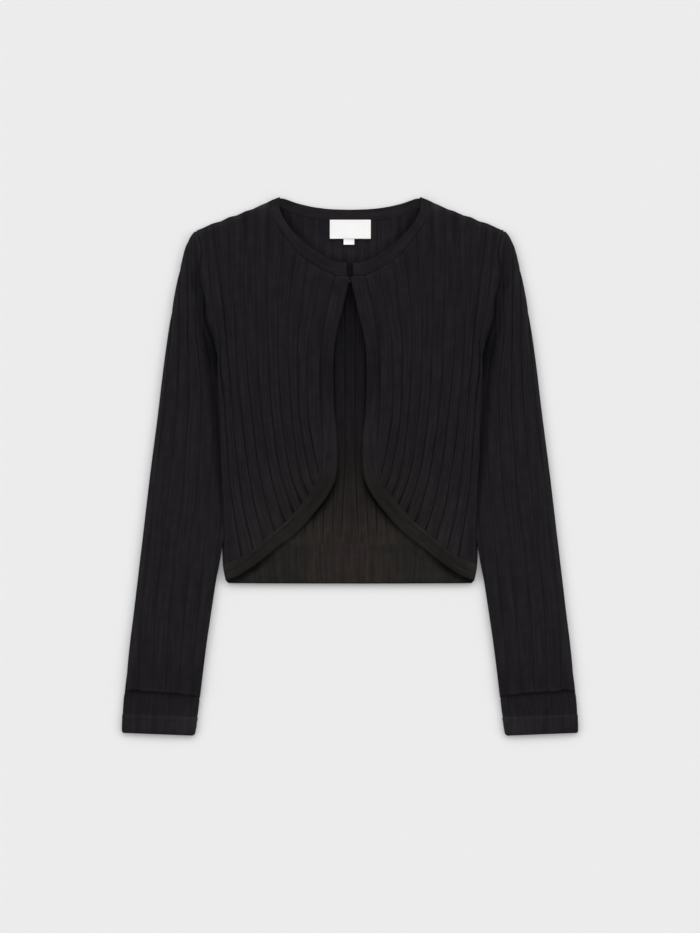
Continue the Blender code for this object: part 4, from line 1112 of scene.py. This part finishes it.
def hem_band():
    """The band below the back, its lower edge rising a hair towards the sides."""
    levels = [row[0] for row in HEM_ROWS]
    down = np.unique(np.concatenate((np.linspace(BACK_END, HEM_END, 40), levels)))[:, None]
    ribbed, ground = straight(HEM_ROWS, down), straight(HEM_ROWS, down, 2)
    share = np.linspace(0.0, 1.0, HEM_RIBS * 5 + 1)
    half = side_out(np.minimum(down, 463)) - 0.1
    out = (2 * share - 1) * half
    ribs = np.sin(math.pi * HEM_RIBS * share) ** 2
    edge = falling(half - np.abs(out), 0, 2)
    height = HEM_WALL + FINE_RIB * ribbed * ribs + ground - 0.3 * edge
    raised = down - 0.5 * (out / half) ** 2 * (down - BACK_END) / (HEM_END - BACK_END)
    stitches = np.stack(np.broadcast_arrays(share * HEM_RIBS * 2, down / FINE_COURSE), axis=-1)
    points = placed(1, out, raised, np.maximum(height, CLOTH))
    # The front bands' soft shadow is painted onto the hem band.
    return laid("hem_band", points, stitches, hem_knit, under_band(np.abs(out), raised))


hem_rib_band = hem_band()

# %% [markdown]
# ## The bands
#
# The front bands and the neckband are smooth double knit, so each is a closed soft strip rather than one
# sheet: a stadium-shaped section carried along the seam, a little fuller at its free edge, where the knit
# rolls. All three are lofted through such sections, set between the places of their two edges.

# %% Sections of the bands
FRONT_BAND_THICKNESS = 2.6
NECKBAND_THICKNESS = 2
BAND_WALE = 1.2  # the width of a column of stitches
STRIP_STEP = 2.6  # from one section to the next


def strip_section(width, thickness, seam_share, steps=7, flat_steps=8):
    """Places across a strip and heights about its middle, round one closed section.

    seam_share is how much of its upper half is left at the seam, where it dips under the panel's edge.
    """
    half = thickness / 2
    free = np.linspace(-math.pi / 2, math.pi / 2, steps)
    at_free = np.stack((half * (1 - np.cos(free)), half * np.sin(free)), axis=1)
    at_seam = np.stack((width - 0.6 * half * (1 - np.cos(free)), -0.85 * half * np.sin(free)), axis=1)
    across = np.linspace(half, width - 0.6 * half, flat_steps + 2)[1:-1]
    upper = np.stack((across, np.full(flat_steps, half)), axis=1)
    lower = upper[::-1] * (1, -1)
    upper[:, 1] -= 0.12 * np.sin(np.linspace(0, math.pi, flat_steps))
    section = np.concatenate((at_free, upper, at_seam, lower))
    left = 1 - (1 - seam_share) * rising(section[:, 0] - width, -3, 0)
    section[:, 1] = np.where(section[:, 1] > 0, section[:, 1] * left, section[:, 1])
    return section


def run(seams, edges):
    """How far along the middle line of a strip each of its stations lies."""
    steps = np.linalg.norm(np.diff(seams + edges, axis=0) / 2, axis=1)
    return np.concatenate(([0.0], np.cumsum(steps)))


def strip_marks(section, width, along):
    """The stitch counts round one section of a strip."""
    around = np.concatenate(([0.0], np.cumsum(np.hypot(*np.diff(section, axis=0).T)), [2 * width]))
    return np.stack((around / BAND_WALE, 0 * around + along / FINE_COURSE), axis=1)


print("a section has", len(strip_section(17, FRONT_BAND_THICKNESS, 0.35)), "points")

# %% Front bands
BAND_TONE = (  # down, the painted light and shade along the band: how light its yarn is painted
    (100, 0.97), (122, 1.17), (150, 1.08), (170, 0.95), (187, 0.79), (209, 0.76), (231, 0.9),
    (253, 1.07), (275, 1.14), (297, 1.26), (319, 1.12), (345, 0.79), (365, 0.87), (377, 0.97),
    (393, 1.05), (408, 1.01), (421, 0.84), (435, 0.98), (447, 1.5),
)


def front_band(side, name):
    """The band of one front, from the throat to the side seam."""
    rows = stations(FRONT_BAND, STRIP_STEP)
    seams, edges = rows[:, :2], rows[:, 2:]
    sections, marks, tones = [], [], []
    for seam, edge, along in zip(seams, edges, run(seams, edges)):
        width = np.linalg.norm(seam - edge)
        full = FRONT_BAND_THICKNESS * (1 - 0.35 * falling(along, 0, 6))
        section = strip_section(width, full, 0.35)
        across = section[:, 0]
        # The band's seam side lies a little over the panel's end.
        flat = edge + (seam - edge) / width * section[:, :1]
        flat = flat + (seam - edge) / width * 0.8 * section[:, :1] / width
        rolled = 0.35 * bump(across, 1.6, 1.8) * (section[:, 1] > 0)
        height = UPPER + full / 2 + section[:, 1] + rolled + upper_rise(*flat.T) + lift(*flat.T, FRONT_LIFT)
        sections.append(placed(side, *flat.T, height))
        marks.append(strip_marks(section, width, along))
        # Painted highlights in broken dots along the seam side low down, and painted shade along the seam
        # side higher up.
        raised = 0.3 * rising(seam[1], 335, 375) * (0.6 + 0.4 * math.sin(along / 2.1))
        seam_shade = 0.45 * falling(seam[1], 285, 310) * bump(across, width - 1.2, 1)
        tone = straight(BAND_TONE, seam[1]) * (1 - seam_shade)
        tones.append(tone + raised * bump(across, width - 1.2, 1.3))
    return lofted(name, np.array(sections), np.array(marks), band_knit, np.array(tones))


front_right_band = front_band(-1, "front_right_band")
front_left_band = front_band(1, "front_left_band")

# %% Neckband
NECK_TONE_FRONT = (  # out, the painted light and shade along the neckband: how light its yarn is painted, with a painted highlight at the fold
    (0, 1.05), (20, 1), (34, 1), (50, 1.06), (70, 1.08), (77, 1.02), (83, 1.15), (85.5, 1.3),
)
# the same from the fold to the middle of the back, painted lighter above the label
NECK_TONE_BACK = (
    (0, 1.4), (25, 1.3), (40, 1.2), (58, 1.2), (66, 1), (71, 0.9), (77, 1.15), (80.5, 1.2),
)


def neckband():
    """A strip flat on the back, turned over at the shoulder point and lying high from there to the throat."""
    low = NECKBAND_THICKNESS / 2
    high = UPPER + low
    turn_radius = (high - low) / 2
    uphill = np.array((0.35, -1)) / math.hypot(0.35, 1)
    places = [(row[:2], row[2:], high, 0) for row in stations(NECK_FRONT, STRIP_STEP)]
    free, seam = np.array(NECK_FOLD[:2]), np.array(NECK_FOLD[2:])
    for turn in np.radians(np.linspace(15.0, 165.0, 9)):
        moved = uphill * (turn_radius * math.sin(turn) - turn_radius - low)
        places.append((free + moved, seam + moved, (high + low) / 2 + turn_radius * math.cos(turn), turn))
    places += [(row[:2], row[2:], low, math.pi) for row in stations(NECK_BACK, STRIP_STEP)]

    frees, seams, heights, turns = (np.array(column) for column in zip(*places))
    sections, marks, tones = [], [], []
    for free, seam, height, turn, along in zip(frees, seams, heights, turns, run(seams, frees)):
        width = np.linalg.norm(seam - free)
        section = strip_section(width, NECKBAND_THICKNESS, 0.7)
        flat = free + (seam - free) / width * section[:, :1] + uphill * math.sin(turn) * section[:, 1:]
        rise = upper_rise(*flat.T) * max(math.cos(turn), 0)
        sections.append((*flat.T, height + rise + math.cos(turn) * section[:, 1]))
        marks.append(strip_marks(section, width, along))
        table = NECK_TONE_FRONT if turn < 1 else NECK_TONE_BACK
        tones.append(straight(table, free[0]) + 0 * section[:, 0])

    # The left half mirrors the right one, back from the middle of the back.
    whole = [placed(-1, *section) for section in sections]
    whole += [placed(1, *section) for section in sections[-2::-1]]
    total = marks[-1][0, 1]
    marks = marks + [mark * (1, -1) + (0, 2 * total) for mark in marks[-2::-1]]
    tones = tones + tones[-2::-1]
    return lofted("neck_band", np.array(whole), np.array(marks), band_knit, np.array(tones))


neck_band = neckband()

# %% [markdown]
# ## Label, tab and fastening
#
# The label is a woven satin tape, left bare, with a smaller tab below it. Its weave is a fine grid of
# threads in the material, with a slightly denser line just inside its border. The hook and eye are bent
# from blackened wire, so each is a round section carried along a path.

# %% Tape material
WARP = 0.35  # from one thread to the next across the tape
WEFT = 0.25  # and along it
STITCHED_LINE = 2.0  # how far inside the border it runs


def tape_material(name, colour, border):
    """A woven satin tape. border is half its width and half its length."""
    made, shader = plain_material(name, colour, 0.55, 0.4)
    tree = made.node_tree
    across, along = stitch_counts(tree)
    warp = calc(tree, "SINE", calc(tree, "MULTIPLY", across, 2 * math.pi / WARP))
    weft = calc(tree, "SINE", calc(tree, "MULTIPLY", along, 2 * math.pi / WEFT))
    embossed(tree, shader, calc(tree, "MULTIPLY", warp, weft), 0.00004, 1.0)
    across = calc(tree, "SUBTRACT", border[0], calc(tree, "ABSOLUTE", across))
    along = calc(tree, "SUBTRACT", border[1], calc(tree, "ABSOLUTE", along))
    inset = calc(tree, "MINIMUM", across, along)
    from_line = calc(tree, "ABSOLUTE", calc(tree, "SUBTRACT", inset, STITCHED_LINE))
    line = calc(tree, "LESS_THAN", from_line, 0.3)
    darker = (*(0.95 * channel for channel in colour), 1.0)
    tree.links.new(mixed(tree, line, (*colour, 1.0), darker), shader.inputs["Base Color"])
    return made


WHITE = (0.79, 0.79, 0.785)
label_tape = tape_material("white_woven_tape", WHITE, (24.8, 11.5))
tab_tape = tape_material("white_tab_tape", WHITE, (60.0, 60.0))

# %% Label and tab
LABEL_TOP = 27.1


def tape(name, width, top, length, thickness, bow, centre, finish):
    """A flat piece of tape on the back's inner face, its lower edge standing up a little."""
    across, along = np.meshgrid(np.linspace(-width / 2, width / 2, 61), np.linspace(0.0, length, 29))
    edge = np.minimum(width / 2 - np.abs(across), np.minimum(along, length - along))
    ripple = 0.12 * np.sin(across / 3.9 + 0.6) * (along / length)
    height = UPPER + thickness + bow * (along / length) ** 2 + ripple - 0.12 * falling(edge, 0, 0.6)
    marks = np.stack((across, along - length / 2), axis=-1)
    points = placed(1, across + centre, top + along, height, 0.0)
    return laid(name, points, marks, finish, thickness=thickness)


woven_label = tape("woven_label", 49.0, LABEL_TOP, 22.7, 0.6, 0.5, 0.36, label_tape)
label_tab = tape("label_tab", 12.8, LABEL_TOP + 22.75, 7.1, 0.45, 0.5, -1.26, tab_tape)

# %% Hook and eye
HOOK_DOWN = 100.8
HOOK_PLACE = 0.0  # out, where its bend holds the eye
HOOK_BEND = 0.9  # radius of the bend
HOOK_WIRE = 0.3  # radius of the wire
EYE_HALF = 1.3  # from the hook's line to each side of the eye
EYE_WIRE = 0.25
SEWN = 6.6  # out, the rings that the thread holds
SEWN_RADIUS = 1.3
WIRE_HEIGHT = 3.85


def dark_metal():
    """Blackened wire, its gloss broken by a fine grain."""
    made, shader = plain_material("blackened_wire", (0.09, 0.087, 0.083), 0.32, 0.5, 1.0)
    tree = made.node_tree
    grain = noise(tree, add_node(tree, "ShaderNodeTexCoord").outputs["Object"], 2500.0, 2.0)
    tree.links.new(ranged(tree, grain, 0.3, 0.7, 0.22, 0.45), shader.inputs["Roughness"])
    return made


def wire(name, points, radius, finish):
    """A bent round wire along its points."""
    line = bpy.data.curves.new(name, "CURVE")
    line.dimensions = "3D"
    line.bevel_depth = radius * MM
    line.bevel_resolution = 4
    line.use_fill_caps = True
    spline = line.splines.new("NURBS")
    spline.points.add(len(points) - 1)
    for target, (x, y, height) in zip(spline.points, points):
        target.co = (x * MM, (LENGTH / 2 - y) * MM, height * MM, 1.0)
    spline.use_endpoint_u = True
    spline.order_u = 3
    spline.resolution_u = 4
    bent = bpy.data.objects.new(name + "_line", line)
    bpy.context.scene.collection.objects.link(bent)
    data = bpy.data.meshes.new_from_object(bent.evaluated_get(bpy.context.evaluated_depsgraph_get()))
    bpy.data.objects.remove(bent)
    data.name = name
    return in_scene(name, data, finish)


def arc(centre, radius, start, end, steps):
    """Points round a circle, from one angle to another, in degrees."""
    angles = np.radians(np.linspace(start, end, steps))
    return [(centre[0] + radius * math.cos(a), centre[1] + radius * math.sin(a)) for a in angles]


metal = dark_metal()
rise = WIRE_HEIGHT + HOOK_BEND
hook_line = [(x, y, WIRE_HEIGHT) for x, y in arc((-SEWN, HOOK_DOWN), SEWN_RADIUS, 60.0, 330.0, 9)]
hook_line += [(-4.4, HOOK_DOWN, WIRE_HEIGHT)]
hook_line += [(x, HOOK_DOWN, height) for x, height in arc((HOOK_PLACE, rise), HOOK_BEND, -90.0, 90.0, 8)]
hook_line += [(HOOK_PLACE - 0.6, HOOK_DOWN, WIRE_HEIGHT + 2 * HOOK_BEND - 0.05)]
hook_wire = wire("hook_wire", hook_line, HOOK_WIRE, metal)

near_side = HOOK_DOWN - EYE_HALF
eye_line = [(x, y, WIRE_HEIGHT) for x, y in arc((SEWN, HOOK_DOWN - 2.4), SEWN_RADIUS, 0.0, -200.0, 8)]
eye_line += [(4.4, near_side, WIRE_HEIGHT), (1.4, near_side, WIRE_HEIGHT)]
eye_line += [(0.3, near_side, WIRE_HEIGHT + 0.6), (HOOK_PLACE, HOOK_DOWN - 0.9, rise)]
eye_line += [(x, 2 * HOOK_DOWN - y, height) for x, y, height in reversed(eye_line)]
eye_wire = wire("eye_wire", eye_line, EYE_WIRE, metal)

# %% [markdown]
# ## Attaching the pieces
#
# Every piece rides on the one body that this soft garment has, and the solid that it stands for is
# hidden. The table also lists a slot of the record for each piece, what it lies on, and the size of the
# flat piece that a cutter or knitter would make for it, with the share of that size that its outline
# covers; the loop reads only the piece and its solid.

# %% Pieces, solids and cloth sizes
PIECES = (  # piece, solid, slot, what it lies on, width and length of its cut in metres, share of that
    (back_panel, "back", "rib_knit", ["floor"], (0.367, 0.412), 0.84),
    (hem_rib_band, "back_hem_band", "fine_rib", ["floor"], (0.306, 0.048), 1.0),
    (front_right_panel, "front_right", "rib_knit", ["back"], (0.166, 0.437), 0.76),
    (front_left_panel, "front_left", "rib_knit", ["back"], (0.166, 0.437), 0.76),
    (front_right_band, "front_band_right", "band_knit", ["back"], (0.0185, 0.435), 1.0),
    (front_left_band, "front_band_left", "band_knit", ["back"], (0.0185, 0.435), 1.0),
    (neck_band, "neckband", "band_knit", ["back", "front_right", "front_left"], (0.0135, 0.47), 1.0),
    (sleeve_right_tube, "sleeve_right", "rib_knit", ["floor"], (0.19, 0.555), 0.86),
    (sleeve_left_tube, "sleeve_left", "rib_knit", ["floor"], (0.19, 0.555), 0.86),
    (cuff_right_tube, "cuff_right", "fine_rib", ["floor"], (0.187, 0.05), 1.0),
    (cuff_left_tube, "cuff_left", "fine_rib", ["floor"], (0.187, 0.05), 1.0),
    (woven_label, "label", "label_tape", ["back"], (0.0496, 0.023), 1.0),
    (label_tab, "size_tab", "label_tape", ["back"], (0.0128, 0.0101), 0.82),
    (hook_wire, "hook", "metal", None, None, None),
    (eye_wire, "eye", "metal", None, None, None),
)
for piece, solid, slot, rests_on, cut, share in PIECES:
    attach(piece, "root")
    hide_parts(solid)
print(len(PIECES), "pieces in place")
